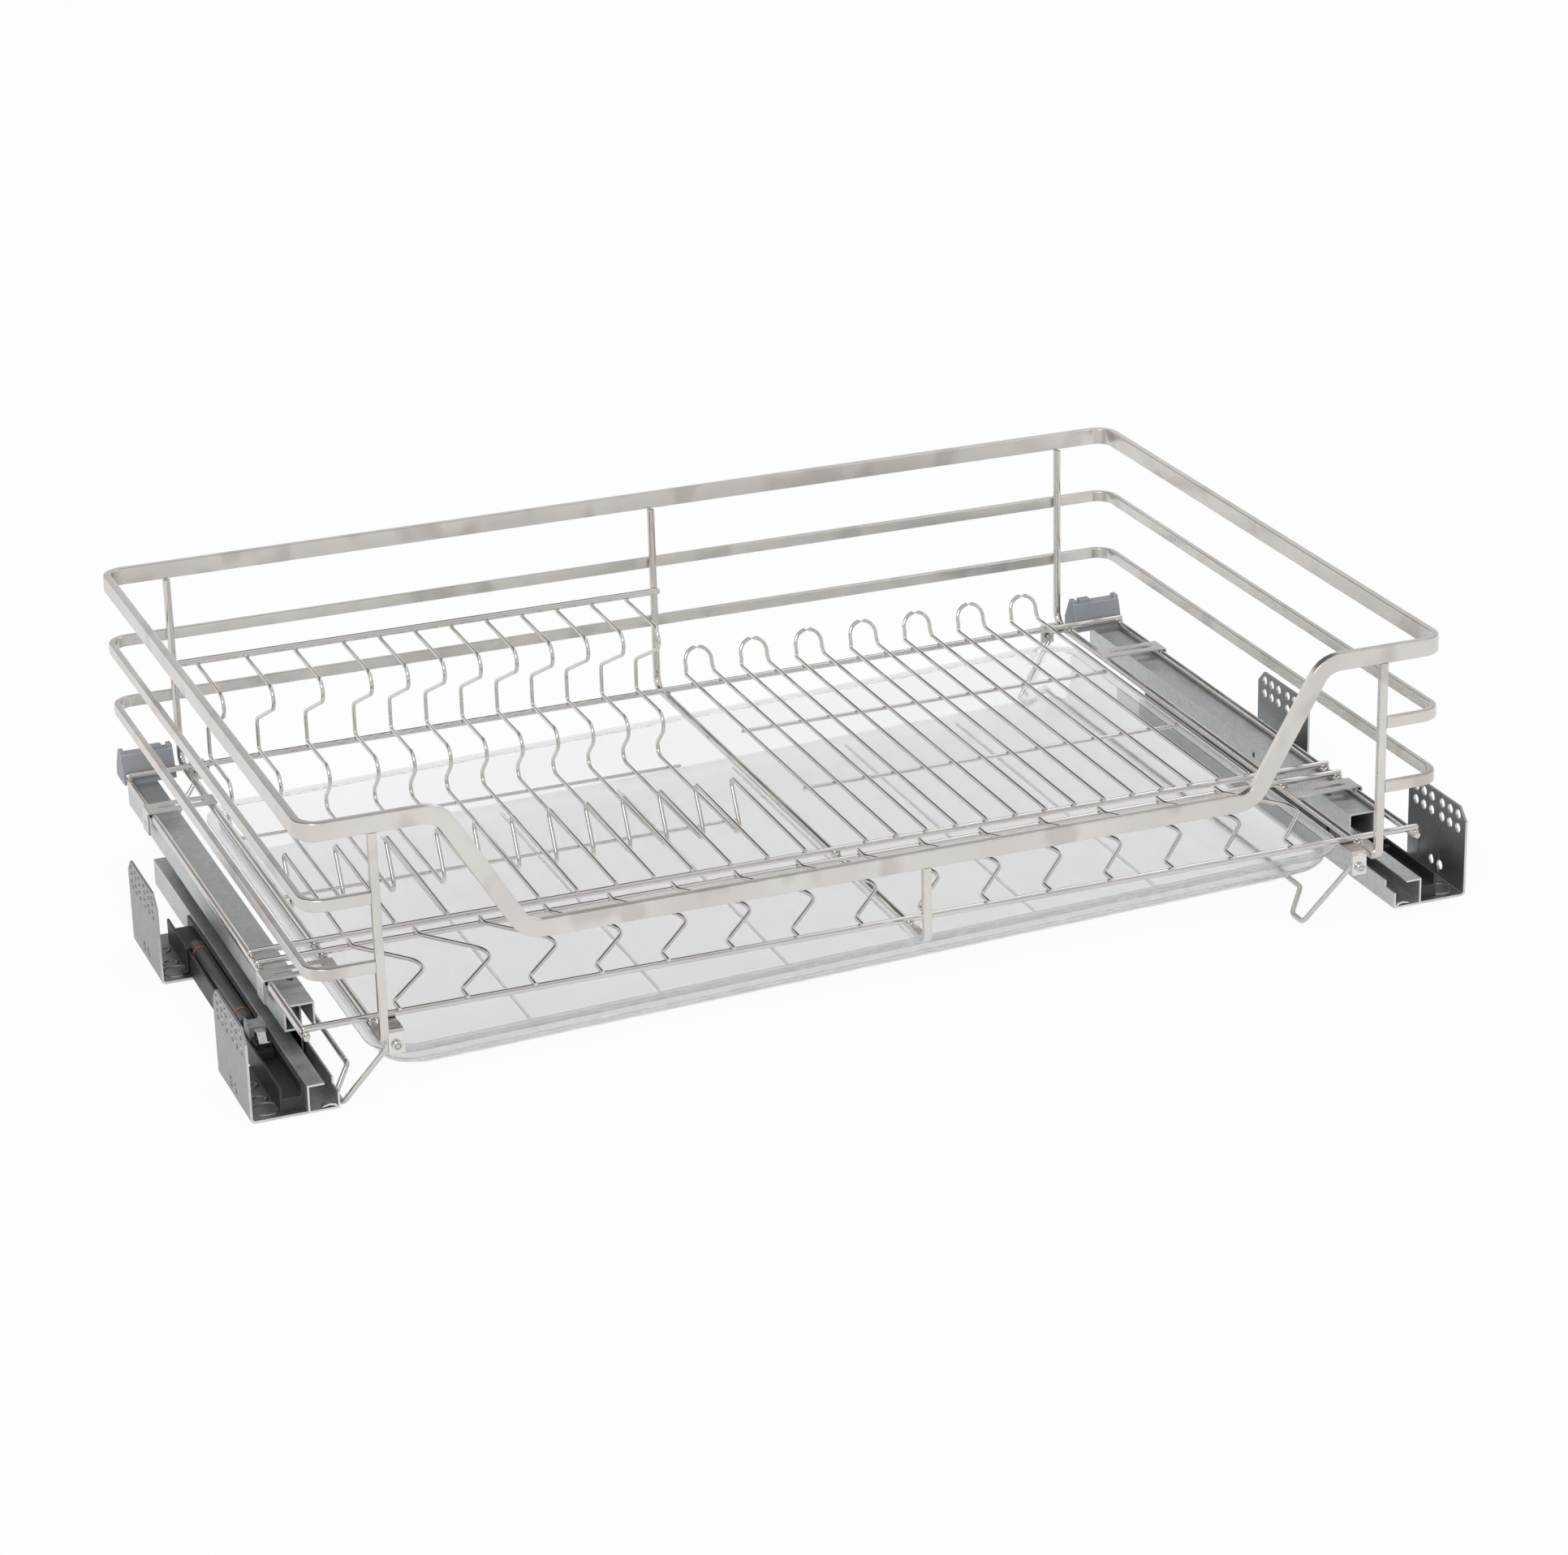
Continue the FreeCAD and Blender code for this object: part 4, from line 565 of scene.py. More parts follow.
for side, way in SIDES.items():
    bm = bmesh.new()
    pull(bm, round_ring(bm, BAIL_WIRE), bail_path, X, BAIL_WIRE / 4)
    swing = Matrix.Translation((way * PIVOT_PLACE, 0, PIVOT_LEVEL)) @ lean
    bmesh.ops.transform(bm, matrix=swing, verts=bm.verts)
    piece(bm, f"bail_{side}_round", f"hanger_{side}")

# %% [markdown]
# ## Drill and slot a plate
#
# A pressed plate is bent from strip. Its middle line is swept with a flat outline, and round
# cutters are taken out with a boolean. The result is read back, so no modifier is left on it.

# %% Cut round holes and slots
HOLE_SIDES = 28
FOLD, SHEARED = radians(40), 0.9
SHEET_ROUND, SHEET_EASE = 0.1 * MM, 0.2 * MM


def cutter(bm, centre, axis, diameter, depth, slot=0):
    """A drill, or with a slot length two half drills along X and what lies between them."""
    turn = axis.to_track_quat("Z", "Y").to_matrix().to_4x4()
    for end in ((-1, 1) if slot else (0,)):
        place = Matrix.Translation(centre + X * end * (slot - diameter) / 2) @ turn
        bmesh.ops.create_cone(bm, cap_ends=True, segments=HOLE_SIDES, radius1=diameter / 2,
                              radius2=diameter / 2, depth=depth, matrix=place)
    if slot:
        size = X * (slot - diameter) + axis * depth
        width = axis.cross(X) * diameter
        scale = Matrix.Diagonal([abs(a) + abs(b) for a, b in zip(size, width)] + [1])
        bmesh.ops.create_cube(bm, size=1, matrix=Matrix.Translation(centre) @ scale)


def cut(bm, cutters):
    """Take the cutters out of the plate, and return a new bmesh."""
    things = []
    for source in (bm, cutters):
        mesh = bpy.data.meshes.new("blank")
        bmesh.ops.recalc_face_normals(source, faces=source.faces)
        source.to_mesh(mesh)
        source.free()
        things.append(bpy.data.objects.new("blank", mesh))
        bpy.context.scene.collection.objects.link(things[-1])
    plate, tool = things
    boolean = plate.modifiers.new("drill", "BOOLEAN")
    boolean.object, boolean.operation, boolean.solver = tool, "DIFFERENCE", "EXACT"
    boolean.use_self = True
    drilled = plate.evaluated_get(bpy.context.evaluated_depsgraph_get())
    left = bpy.data.meshes.new_from_object(drilled)
    result = bmesh.new()
    result.from_mesh(left)
    for thing in things:
        bpy.data.objects.remove(thing)
    bpy.data.meshes.remove(left)
    return result


def ease_sharp(bm, width, sheared=True):
    """Bevel what is sharper than a fold, and mark it for the finishes' wear and painted edge
    highlight.
    """
    edge = bm.faces.layers.float.new("edge")
    bmesh.ops.dissolve_limit(bm, angle_limit=radians(1), verts=bm.verts, edges=bm.edges)
    sharp = [e for e in bm.edges if e.is_manifold and e.calc_face_angle(0) > FOLD]
    worn_and_highlit = bmesh.ops.bevel(bm, geom=sharp, offset=width, segments=2, profile=0.5, affect="EDGES",
                           material=-1, clamp_overlap=True)["faces"]
    if sheared:
        worn_and_highlit += [face for face in bm.faces if abs(face.normal.y) > SHEARED]
    # The marked faces are painted paler: partly real wear and bare cut metal, partly a painted
    # edge highlight
    for face in worn_and_highlit:
        face[edge] = 1


def pressed(fold, sheet, width, level, cutters):
    """A strip of sheet folded along a path, drilled, and with its edges eased."""
    bm = bmesh.new()
    sweep(bm, bar_ring(bm, sheet, width, SHEET_ROUND), rounded(fold), level)
    bm = cut(bm, cutters)
    ease_sharp(bm, SHEET_EASE)
    return bm


# %% [markdown]
# ## Soften a pressed or moulded piece
#
# The channels, clips and cages already have their true form in the frame, but their edges are
# knife sharp. A copy of the frame's mesh is merged, its flat triangles are joined, and its sharp
# edges get a narrow bevel, which catches the light as a real edge does.

# %% Copy a node with eased edges
TOUCH = 1e-6
SHEARED_EASE = 0.25 * MM
MOULDED_EASE = {"lower_cage": 0.15 * MM, "upper_cage": 0.15 * MM,
                "damper_tray": 0.3 * MM, "rear_clip": 0.5 * MM}
PUNCH, PUNCH_PLACE, PUNCH_LINE = 4 * MM, 333 * MM, -123 * MM
WINDOW, WINDOW_LINE, WINDOW_DROP = 3.4 * MM, -30 * MM, 6.5 * MM


def softened(name, node, width, sheared=False, punches=None):
    bm = bmesh.new()
    bm.from_mesh(frame["nodes"][node].data)
    bmesh.ops.remove_doubles(bm, verts=bm.verts, dist=TOUCH)
    if punches:
        bm = cut(bm, punches)
    ease_sharp(bm, width, sheared)
    piece(bm, name, node)


for side, way in SIDES.items():
    low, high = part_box(f"drawer_rail_{side}")
    inner = low.x if way > 0 else high.x
    punches = bmesh.new()
    cutter(punches, Vector((way * PUNCH_PLACE, PUNCH_LINE, high.z)), Z, PUNCH, 2 * PUNCH)
    window = Matrix.Translation((inner, WINDOW_LINE, high.z - WINDOW_DROP))
    bmesh.ops.create_cube(punches, size=WINDOW, matrix=window)
    softened(f"drawer_channel_{side}", f"drawer_rail_{side}", SHEARED_EASE, True, punches)
    softened(f"cabinet_channel_{side}", f"cabinet_rail_{side}", SHEARED_EASE, True)
    softened(f"runner_{side}_pressed", f"middle_runner_{side}", SHEARED_EASE, True)
    for node, ease in MOULDED_EASE.items():
        softened(f"{node}_{side}_moulded", f"{node}_{side}", ease)
print("pieces so far:", len(pieces))

# %% [markdown]
# ## The fixing brackets
#
# Four pressed angles screw to the sides of the cabinet. Each has two banks of three by two holes
# for different heights, two more holes near the fold inside a shallow pocket each, and low rims
# stamped on its foot.

# %% Stamp a low round rim on a plate
RIDGE_HALF, RIDGE_HIGH, RIDGE_SUNK = 1.1 * MM, 0.75 * MM, 0.1 * MM


def chain(bm, points, closed=False):
    """Edges through the points, as an outline to spin."""
    verts = [bmesh.ops.create_vert(bm, co=point)["vert"][0] for point in points]
    ends = verts[1:] + (verts[:1] if closed else [])
    return verts + [bm.edges.new(pair) for pair in zip(verts, ends)]


def stamped_rim(bm, centre, radius):
    """A shallow ridge round a dimple: a low arch turned about the upright through the centre."""
    arch = [(RIDGE_HALF * cos(pi * k / 6), RIDGE_HIGH * sin(pi * k / 6)) for k in range(7)]
    points = [centre + X * (radius + out) + Z * (up - RIDGE_SUNK) for out, up in arch]
    bmesh.ops.spin(bm, geom=chain(bm, points, closed=True), cent=centre, axis=Z, angle=2 * pi,
                   steps=24, use_merge=True)


# %% Press and drill the brackets
SHEET, BRACKET_BEND = 1.5 * MM, 2.2 * MM
HOLE, HOLE_DROP = 6.3 * MM, 5.6 * MM
COLUMN, ROW, BANK = 9.7 * MM, 9 * MM, 32 * MM
FOOT_HOLE, FOOT_HOLE_LEVEL = 5.15 * MM, 9 * MM
POCKET, POCKET_WIDE = 0.35 * MM, 18 * MM
POCKET_SHIFT, POCKET_LEVEL = 12.5 * MM, 12.5 * MM
POCKET_DROP = 4.5  # in millimetres
CORNER_CUT = 8 * MM
RIM_LINE = 11 * MM
RIMS = ((11 * MM, 4.2 * MM), (-9 * MM, 4.2 * MM), (-22 * MM, 8 * MM))
corner = Matrix.Rotation(radians(45), 4, "X") @ Matrix.Scale(CORNER_CUT * sqrt(2), 4)
scoop = Matrix.Diagonal((4 * POCKET, POCKET_WIDE, POCKET_WIDE / 2, 1))
for side, way in SIDES.items():
    for end in ("front", "rear"):
        node = f"{end}_bracket_{side}"
        low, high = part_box(node)
        face = (high.x if way > 0 else low.x) - way * SHEET / 2
        toe = low.x if way > 0 else high.x
        middle = (low.y + high.y) / 2
        fold = [((toe, middle, SHEET / 2), 0), ((face, middle, SHEET / 2), BRACKET_BEND),
                ((face, middle, high.z), 0)]
        drills = bmesh.new()
        first = middle - BANK / 2 - COLUMN
        for bank, column, row in product((0, 1), (0, 1, 2), (0, 1)):
            place = Vector((face, first + column * COLUMN + bank * BANK,
                            high.z - HOLE_DROP - row * ROW))
            cutter(drills, place, X, HOLE, 6 * SHEET)
        for hand in (-1, 1):
            place = Vector((face, middle + hand * FOOT_HOLE, FOOT_HOLE_LEVEL))
            cutter(drills, place, X, HOLE, 6 * SHEET)
            place = Vector((face - way * (SHEET / 2 + POCKET), middle + hand * POCKET_SHIFT,
                            POCKET_LEVEL))
            cutter(drills, place, X, POCKET_WIDE, 4 * POCKET)
            below = Matrix.Translation(place - Z * POCKET_DROP * MM)
            bmesh.ops.create_cube(drills, size=1, matrix=below @ scoop)
        for edge in (low.y, high.y):
            place = Matrix.Translation((face, edge, high.z))
            bmesh.ops.create_cube(drills, size=1, matrix=place @ corner)
        bm = pressed(fold, SHEET, high.y - low.y, Y, drills)
        for along, radius in RIMS:
            stamped_rim(bm, Vector((face - way * RIM_LINE, middle + along, SHEET)), radius)
        piece(bm, f"{node}_pressed", node)
print("four brackets, fourteen holes each")

# %% [markdown]
# ## Straps and clips
#
# Slotted straps tie the floor wires to the slides, with the outer end folded down. Small bent
# clips under the cross wires carry the pins of the bails.

# %% Fold the straps and the clips
STRAP, STRAP_BEND = 1.2 * MM, 1.4 * MM
SLOT_WIDE, SLOT_LONG = 4 * MM, 30 * MM
TAB_HOLE, TAB_HOLE_DROP = 3.5 * MM, 9.25 * MM
CLIP_BEND, CLIP_HOLE = 1.8 * MM, 4.4 * MM
for side, way in SIDES.items():
    for end, hand in (("front", -1), ("rear", 1)):
        node = f"{end}_strap_{side}"
        low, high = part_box(node)
        line = (low.y + high.y) / 2
        inner, outer = (low.x, high.x) if way > 0 else (high.x, low.x)
        top = high.z - STRAP / 2
        tab = outer - way * STRAP / 2
        fold = [((inner, line, top), 0), ((tab, line, top), STRAP_BEND), ((tab, line, low.z), 0)]
        holes = bmesh.new()
        middle = (inner + outer - way * STRAP) / 2
        cutter(holes, Vector((middle, line, top)), Z, SLOT_WIDE, 6 * STRAP, SLOT_LONG)
        cutter(holes, Vector((tab, line, high.z - TAB_HOLE_DROP)), X, TAB_HOLE, 6 * STRAP)
        piece(pressed(fold, STRAP, high.y - low.y, Y, holes), f"{node}_folded", node)

        node = f"{end}_tray_clip_{side}"
        low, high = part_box(node)
        face = (high.y if hand > 0 else low.y) - hand * SHEET / 2
        back = low.y if hand > 0 else high.y
        line = (low.x + high.x) / 2
        top = high.z - SHEET / 2
        fold = [((line, back, top), 0), ((line, face, top), CLIP_BEND), ((line, face, low.z), 0)]
        holes = bmesh.new()
        cutter(holes, Vector((way * PIVOT_PLACE, face, PIVOT_LEVEL)), Y, CLIP_HOLE, 6 * SHEET)
        piece(pressed(fold, SHEET, high.x - low.x, X, holes), f"{node}_folded", node)
print("straps and clips folded")

# %% [markdown]
# ## Turned pieces
#
# Collars, rollers and the damper's cylinder and rings are round, so each is a profile spun about
# its own axis.

# %% Spin a profile about an axis
def spun(bm, profile, centre, axis, sides=32):
    """Spin (along, radius) points about an axis through the centre."""
    side = axis.orthogonal().normalized()
    points = [centre + axis * along + side * radius for along, radius in profile]
    bmesh.ops.spin(bm, geom=chain(bm, points), cent=centre, axis=axis, angle=2 * pi, steps=sides,
                   use_merge=True)
    bmesh.ops.remove_doubles(bm, verts=bm.verts, dist=TOUCH)


def ring_profile(start, end, bore, radius, ease):
    return [(start, bore), (start, radius - ease), (start + ease, radius), (end - ease, radius),
            (end, radius - ease), (end, bore), (start, bore)]


# %% Turn the collars, rings, cylinders and rollers
COLLAR, COLLAR_EASE = 2 * MM, 0.5 * MM
RING, RING_HALF, RING_EASE = 3 * MM, 0.8 * MM, 0.2 * MM
RING_BORE, RING_RADIUS = 4.65 * MM, 5 * MM
BODY, BODY_EASE = 4.6 * MM, 0.6 * MM
BORE, BORE_DEEP = 1.5 * MM, 8 * MM
GROOVE_START, GROOVE_END, GROOVE_DEEP = 11 * MM, 13.5 * MM, 0.5 * MM
CAP, CAP_LONG, CAP_EASE = 2.3 * MM, 4 * MM, 0.4 * MM
ROLLERS, ROLLER_EASE = 3, 0.2 * MM
for side, way in SIDES.items():
    low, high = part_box(f"hanger_collars_{side}")
    bm = bmesh.new()
    centre = Vector((way * PIVOT_PLACE, 0, PIVOT_LEVEL))
    for start, end in ((low.y, low.y + COLLAR), (high.y - COLLAR, high.y)):
        profile = ring_profile(start, end, BAIL_WIRE / 2 + WELD_GAP, (high.z - low.z) / 2,
                               COLLAR_EASE)
        spun(bm, profile, centre, Y, 24)
    piece(bm, f"bail_collars_{side}", f"hanger_collars_{side}", slot="bright_wire")

    low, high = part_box(f"damper_rings_{side}")
    centre = Vector(((low.x + high.x) / 2, 0, (low.z + high.z) / 2))
    bm = bmesh.new()
    for middle in (low.y + RING / 2, high.y - RING / 2):
        profile = ring_profile(middle - RING_HALF, middle + RING_HALF, RING_BORE, RING_RADIUS,
                               RING_EASE)
        spun(bm, profile, centre, Y)
    piece(bm, f"damper_rings_{side}_soft", f"damper_rings_{side}")

    low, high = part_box(f"damper_cylinder_{side}")
    shoulder = high.y - CAP_LONG
    groove_start, groove_end = low.y + GROOVE_START, low.y + GROOVE_END
    profile = [(low.y + BORE_DEEP, BORE), (low.y, BORE), (low.y, BODY - BODY_EASE),
               (low.y + BODY_EASE, BODY), (groove_start, BODY),
               (groove_start + GROOVE_DEEP, BODY - GROOVE_DEEP),
               (groove_end - GROOVE_DEEP, BODY - GROOVE_DEEP), (groove_end, BODY),
               (shoulder - BODY_EASE, BODY), (shoulder, BODY - BODY_EASE), (shoulder, CAP),
               (high.y - CAP_EASE, CAP), (high.y, CAP - CAP_EASE), (high.y, 0)]
    bm = bmesh.new()
    spun(bm, profile, centre, Y)
    bmesh.ops.holes_fill(bm, edges=[e for e in bm.edges if e.is_boundary], sides=0)
    piece(bm, f"damper_cylinder_{side}_turned", f"damper_cylinder_{side}")

    for kind in ("lower", "upper"):
        low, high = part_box(f"{kind}_rollers_{side}")
        radius, level = (high.z - low.z) / 2, (low.z + high.z) / 2
        pitch = (high.y - low.y - 2 * radius) / (ROLLERS - 1)
        profile = [(low.x, 0), (low.x, radius - ROLLER_EASE), (low.x + ROLLER_EASE, radius),
                   (high.x - ROLLER_EASE, radius), (high.x, radius - ROLLER_EASE), (high.x, 0)]
        bm = bmesh.new()
        for number in range(ROLLERS):
            spun(bm, profile, Vector((0, low.y + radius + number * pitch, level)), X, 16)
        piece(bm, f"{kind}_rollers_{side}_ground", f"{kind}_rollers_{side}")
print("turned pieces done")

# %% [markdown]
# ## The soft-close catch
#
# The catch slides in the trough and pulls the drawer home through the damper's rod. Seen from
# above it is a grey block in front of the rod, a low slider, and a bent leaf spring that snaps
# over the drawer's pin. A swept strip makes the leaf, because it is one strip bent four times.

# %% Build the catch
def block(bm, low, high, ease):
    """A moulded block between two corners, with eased edges."""
    low, high = Vector(low), Vector(high)
    size = Matrix.Translation((low + high) / 2) @ Matrix.Diagonal((*(high - low), 1))
    made = bmesh.ops.create_cube(bm, size=1, matrix=size)["verts"]
    rims = list({edge for v in made for edge in v.link_edges})
    bmesh.ops.bevel(bm, geom=rims, offset=ease, segments=2, profile=0.5, affect="EDGES",
                    material=-1)


ROD, ROD_EASE = 2.4 * MM, 0.3 * MM
CATCH_LONG, BLOCK_LONG, BLOCK_EASE = 29.5 * MM, 11.5 * MM, 0.6 * MM
PRONG, PRONG_HIGH, PRONG_SUNK, PRONG_EASE = 2 * MM, 1.2 * MM, 0.2 * MM, 0.4 * MM
SLIDER_GAP, SLIDER_HIGH, SLIDER_EASE = 0.4 * MM, 5 * MM, 0.5 * MM
LIP, LIP_HIGH, LIP_EASE = 1.6 * MM, 3.5 * MM, 0.4 * MM
LEAF_THIN, LEAF_WIDE, LEAF_EASE = 0.8 * MM, 5 * MM, 0.2 * MM
LEAF_BENDS = (0, 1.6 * MM, 1.6 * MM, 1.6 * MM, 0)
for side, way in SIDES.items():
    low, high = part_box(f"soft_close_catch_{side}")
    cylinder_low, cylinder_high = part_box(f"damper_cylinder_{side}")
    line, rod_level = (low.x + high.x) / 2, (cylinder_low.z + cylinder_high.z) / 2
    back = low.y + CATCH_LONG
    front = back - BLOCK_LONG

    bm = bmesh.new()
    shelf = high.z - PRONG_HIGH
    block(bm, (low.x, front, low.z), (high.x, back, shelf), BLOCK_EASE)
    for wall in (low.x, high.x - PRONG):
        block(bm, (wall, front + 3 * MM, shelf - PRONG_SUNK), (wall + PRONG, back, high.z),
              PRONG_EASE)
    piece(bm, f"catch_{side}_block", f"soft_close_catch_{side}", slot="grey_plastic")

    bm = bmesh.new()
    near, far, top = low.x + SLIDER_GAP, high.x - SLIDER_GAP, low.z + SLIDER_HIGH
    block(bm, (near, low.y, low.z), (far, front, top), SLIDER_EASE)
    for wall in (near, far - LIP):
        block(bm, (wall, low.y + 4 * MM, top), (wall + LIP, front - 3 * MM, top + LIP_HIGH),
              LIP_EASE)
    piece(bm, f"catch_{side}_slider", body=f"catch_{side}", slot="black_plastic")

    bm = bmesh.new()
    leaf = [(front, low.z + 6 * MM), (front - 2 * MM, high.z - 2 * MM),
            (front - 8 * MM, high.z - 1 * MM), (front - 13 * MM, low.z + 7 * MM),
            (low.y + 1 * MM, high.z - 4 * MM)]
    leaf_path = [((line, *place), bend) for place, bend in zip(leaf, LEAF_BENDS)]
    pull(bm, bar_ring(bm, LEAF_THIN, LEAF_WIDE, LEAF_EASE), leaf_path, X, LEAF_EASE)
    piece(bm, f"catch_{side}_leaf", body=f"catch_{side}", slot="galvanised_steel")

    bm = bmesh.new()
    rod_path = [((line, back, rod_level), 0), ((line, high.y, rod_level), 0)]
    pull(bm, round_ring(bm, ROD), rod_path, Z, ROD_EASE)
    piece(bm, f"catch_{side}_rod", body=f"catch_{side}", slot="roller_steel")
print("catches of four pieces each")

# %% [markdown]
# ## The damper's saddle
#
# A springy plastic saddle holds the rear end of the cylinder down. Its strap leaves the side of
# the cylinder, passes over the outer wall of the trough and hooks out at the foot.

# %% Hook the saddles on
SADDLE_THICK, SADDLE_WIDE, SADDLE_EASE = 1.5 * MM, 5 * MM, 0.3 * MM
SADDLE_BEND, SADDLE_LINE, SADDLE_RISE = 1 * MM, 3.65 * MM, 1.6 * MM
for side, way in SIDES.items():
    low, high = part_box(f"damper_cylinder_{side}")
    rings_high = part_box(f"damper_rings_{side}")[1]
    trough_low, trough_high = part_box(f"damper_tray_{side}")
    wall = trough_high.x if way > 0 else trough_low.x
    line, top = rings_high.y + SADDLE_LINE, trough_high.z + SADDLE_RISE
    start, down = (low.x + high.x) / 2 + way * 5 * MM, wall + way * 1.1 * MM
    hook = [((start, line, top), 0), ((down, line, top), SADDLE_BEND),
            ((down, line, 3.5 * MM), SADDLE_BEND), ((wall + way * 4.3 * MM, line, 3 * MM), 0)]
    bm = bmesh.new()
    ring = bar_ring(bm, SADDLE_THICK, SADDLE_WIDE, SADDLE_EASE)
    pull(bm, ring, hook, Y, SADDLE_EASE)
    piece(bm, f"damper_saddle_{side}", body="cabinet_side", slot="black_plastic")
print("saddles on")

# %% [markdown]
# ## The drip tray
#
# The tray is a thin clear moulding: a flat rim, an upright wall, a slope and a floor with ribs.
# One rounded outline is extruded from ring to ring, and the solidify operator gives it its wall.
# It is drawn level and then tipped, because it lies with its right side on the bail.

# %% Mould the tray
TRAY_TILT = atan2(17.5, 600)
TRAY_HALF, TRAY_FRONT, TRAY_REAR, TRAY_DEPTH = 306 * MM, 206 * MM, 200 * MM, 25 * MM
OUTER_BEND, INNER_BEND = 28 * MM, 20 * MM
TRAY_WALL, TRAY_FLOOR, TRAY_GAP = 1.4 * MM, 1.6 * MM, 0.3 * MM
TRAY_RIM, TRAY_DRAFT, SLOPE_TOP = 8 * MM, 0.8 * MM, 14 * MM
SLOPE_SIDE, SLOPE_END = TRAY_RIM + 14 * MM, TRAY_RIM + 24 * MM
# How far the side walls and the end walls stand in, and at which level, from the rim down
TRAY_RINGS = (
    (TRAY_RIM, TRAY_RIM, TRAY_DEPTH),
    (TRAY_RIM + 0.6 * MM, TRAY_RIM + 0.6 * MM, TRAY_DEPTH - 1.2 * MM),
    (TRAY_RIM + TRAY_DRAFT, TRAY_RIM + TRAY_DRAFT, SLOPE_TOP + 2 * MM),
    (TRAY_RIM + 2.4 * MM, TRAY_RIM + 3 * MM, SLOPE_TOP - 0.6 * MM),
    (SLOPE_SIDE - 1 * MM, SLOPE_END - 1.6 * MM, TRAY_FLOOR + 1 * MM),
    (SLOPE_SIDE + 2.4 * MM, SLOPE_END + 2.4 * MM, TRAY_FLOOR),
)
tray_middle = (TRAY_REAR - TRAY_FRONT) / 2
tray_reach = (TRAY_FRONT + TRAY_REAR) / 2


def tray_ring(bm, edges, inset_side, inset_end, level, outline):
    """Extrude the last ring of edges to an inset outline with the inner corners."""
    ring, verts = grow(bm, edges)
    old_x, old_y, old_bend = outline
    new_x, new_y = TRAY_HALF - inset_side, tray_reach - inset_end
    for v in verts:
        for axis, middle, old, new in ((0, 0, old_x, new_x), (1, tray_middle, old_y, new_y)):
            away = v.co[axis] - middle
            way = 1 if away > 0 else -1
            bent = away - way * (old - old_bend)
            v.co[axis] = middle + way * (new - INNER_BEND) + bent * INNER_BEND / old_bend
        v.co.z = level
    return ring, (new_x, new_y, INNER_BEND)


bm = bmesh.new()
span = (TRAY_HALF, tray_reach, OUTER_BEND)
plan = Matrix.Translation((0, tray_middle, TRAY_DEPTH))
plan @= Matrix.Diagonal((2 * TRAY_HALF, 2 * tray_reach, 1, 1))
start = bmesh.ops.create_grid(bm, x_segments=1, y_segments=1, size=0.5, matrix=plan)["verts"]
bmesh.ops.bevel(bm, geom=start, offset=OUTER_BEND, segments=10, profile=0.5,
                affect="VERTICES", material=-1)
ring = list(next(iter(bm.faces)).edges)
bmesh.ops.delete(bm, geom=list(bm.faces), context="FACES_ONLY")
for side_in, end_in, level in TRAY_RINGS:
    ring, span = tray_ring(bm, ring, side_in, end_in, level, span)
bmesh.ops.holes_fill(bm, edges=ring, sides=0)
bmesh.ops.recalc_face_normals(bm, faces=bm.faces)
if sum(f.normal.z * f.calc_area() for f in bm.faces) < 0:
    bmesh.ops.reverse_faces(bm, faces=bm.faces)
bmesh.ops.solidify(bm, geom=bm.faces, thickness=TRAY_WALL)
levels = [v.co.z / MM for v in bm.verts]
print("tray walls from", round(min(levels), 2), "to", round(max(levels), 2), "mm")

# %% Raise the ribs of the tray, tip it and put it in
RIB_COUNT, RIB_PITCH, RIB_INSET = 6, 80 * MM, 50 * MM
RIB_WIDE, RIB_HIGH, RIB_EASE = 2 * MM, 1.2 * MM, 0.4 * MM
rib = Matrix.Diagonal((RIB_WIDE, 2 * (tray_reach - RIB_INSET), RIB_HIGH, 1))
for number in range(RIB_COUNT):
    x = (number - (RIB_COUNT - 1) / 2) * RIB_PITCH
    place = Matrix.Translation((x, tray_middle, TRAY_FLOOR + RIB_HIGH / 2))
    made = bmesh.ops.create_cube(bm, size=1, matrix=place @ rib)["verts"]
    tops = [e for e in {e for v in made for e in v.link_edges}
            if min(v.co.z for v in e.verts) > TRAY_FLOOR + RIB_HIGH / 2]
    bmesh.ops.bevel(bm, geom=tops, offset=RIB_EASE, segments=2, profile=0.5, affect="EDGES",
                    material=-1)
lift = TRAY_GAP + (TRAY_HALF - SLOPE_SIDE) * sin(TRAY_TILT)
tip = Matrix.Translation((0, 0, lift)) @ Matrix.Rotation(-TRAY_TILT, 4, "Y")
bmesh.ops.transform(bm, matrix=tip, verts=bm.verts)
piece(bm, "drip_tray_moulded", "drip_tray")
print("tray lifted by", round(lift / MM, 2), "mm and tipped")

# %% [markdown]
# ## Shader maths as sums
#
# A finish is a tree of shader nodes. Three small classes keep it readable. `Signal` wraps one
# number in a tree, so that a sum on it is written as a sum. `Tree` adds every other kind of node,
# and `Finish` is the tree of one material.

# %% Wrap a number in a tree
class Signal:
    """A number in a node tree. Sums on it add Math nodes."""

    def __init__(self, tree, socket):
        self.tree, self.socket = tree, socket

    def sum(self, operation, *values):
        return self.tree.node("ShaderNodeMath", {"operation": operation}, dict(enumerate(values)))

    def __add__(self, other):
        return self.sum("ADD", self, other)

    def __sub__(self, other):
        return self.sum("SUBTRACT", self, other)

    def __rsub__(self, other):
        return self.sum("SUBTRACT", other, self)

    def __mul__(self, other):
        return self.sum("MULTIPLY", self, other)

    def __gt__(self, other):
        return self.sum("GREATER_THAN", self, other)

    def __abs__(self):
        return self.sum("ABSOLUTE", self)

    def highest(self, other):
        return self.sum("MAXIMUM", self, other)

    def clamp(self):
        return self.tree.node("ShaderNodeClamp", sockets={0: self})

    __radd__ = __add__
    __rmul__ = __mul__


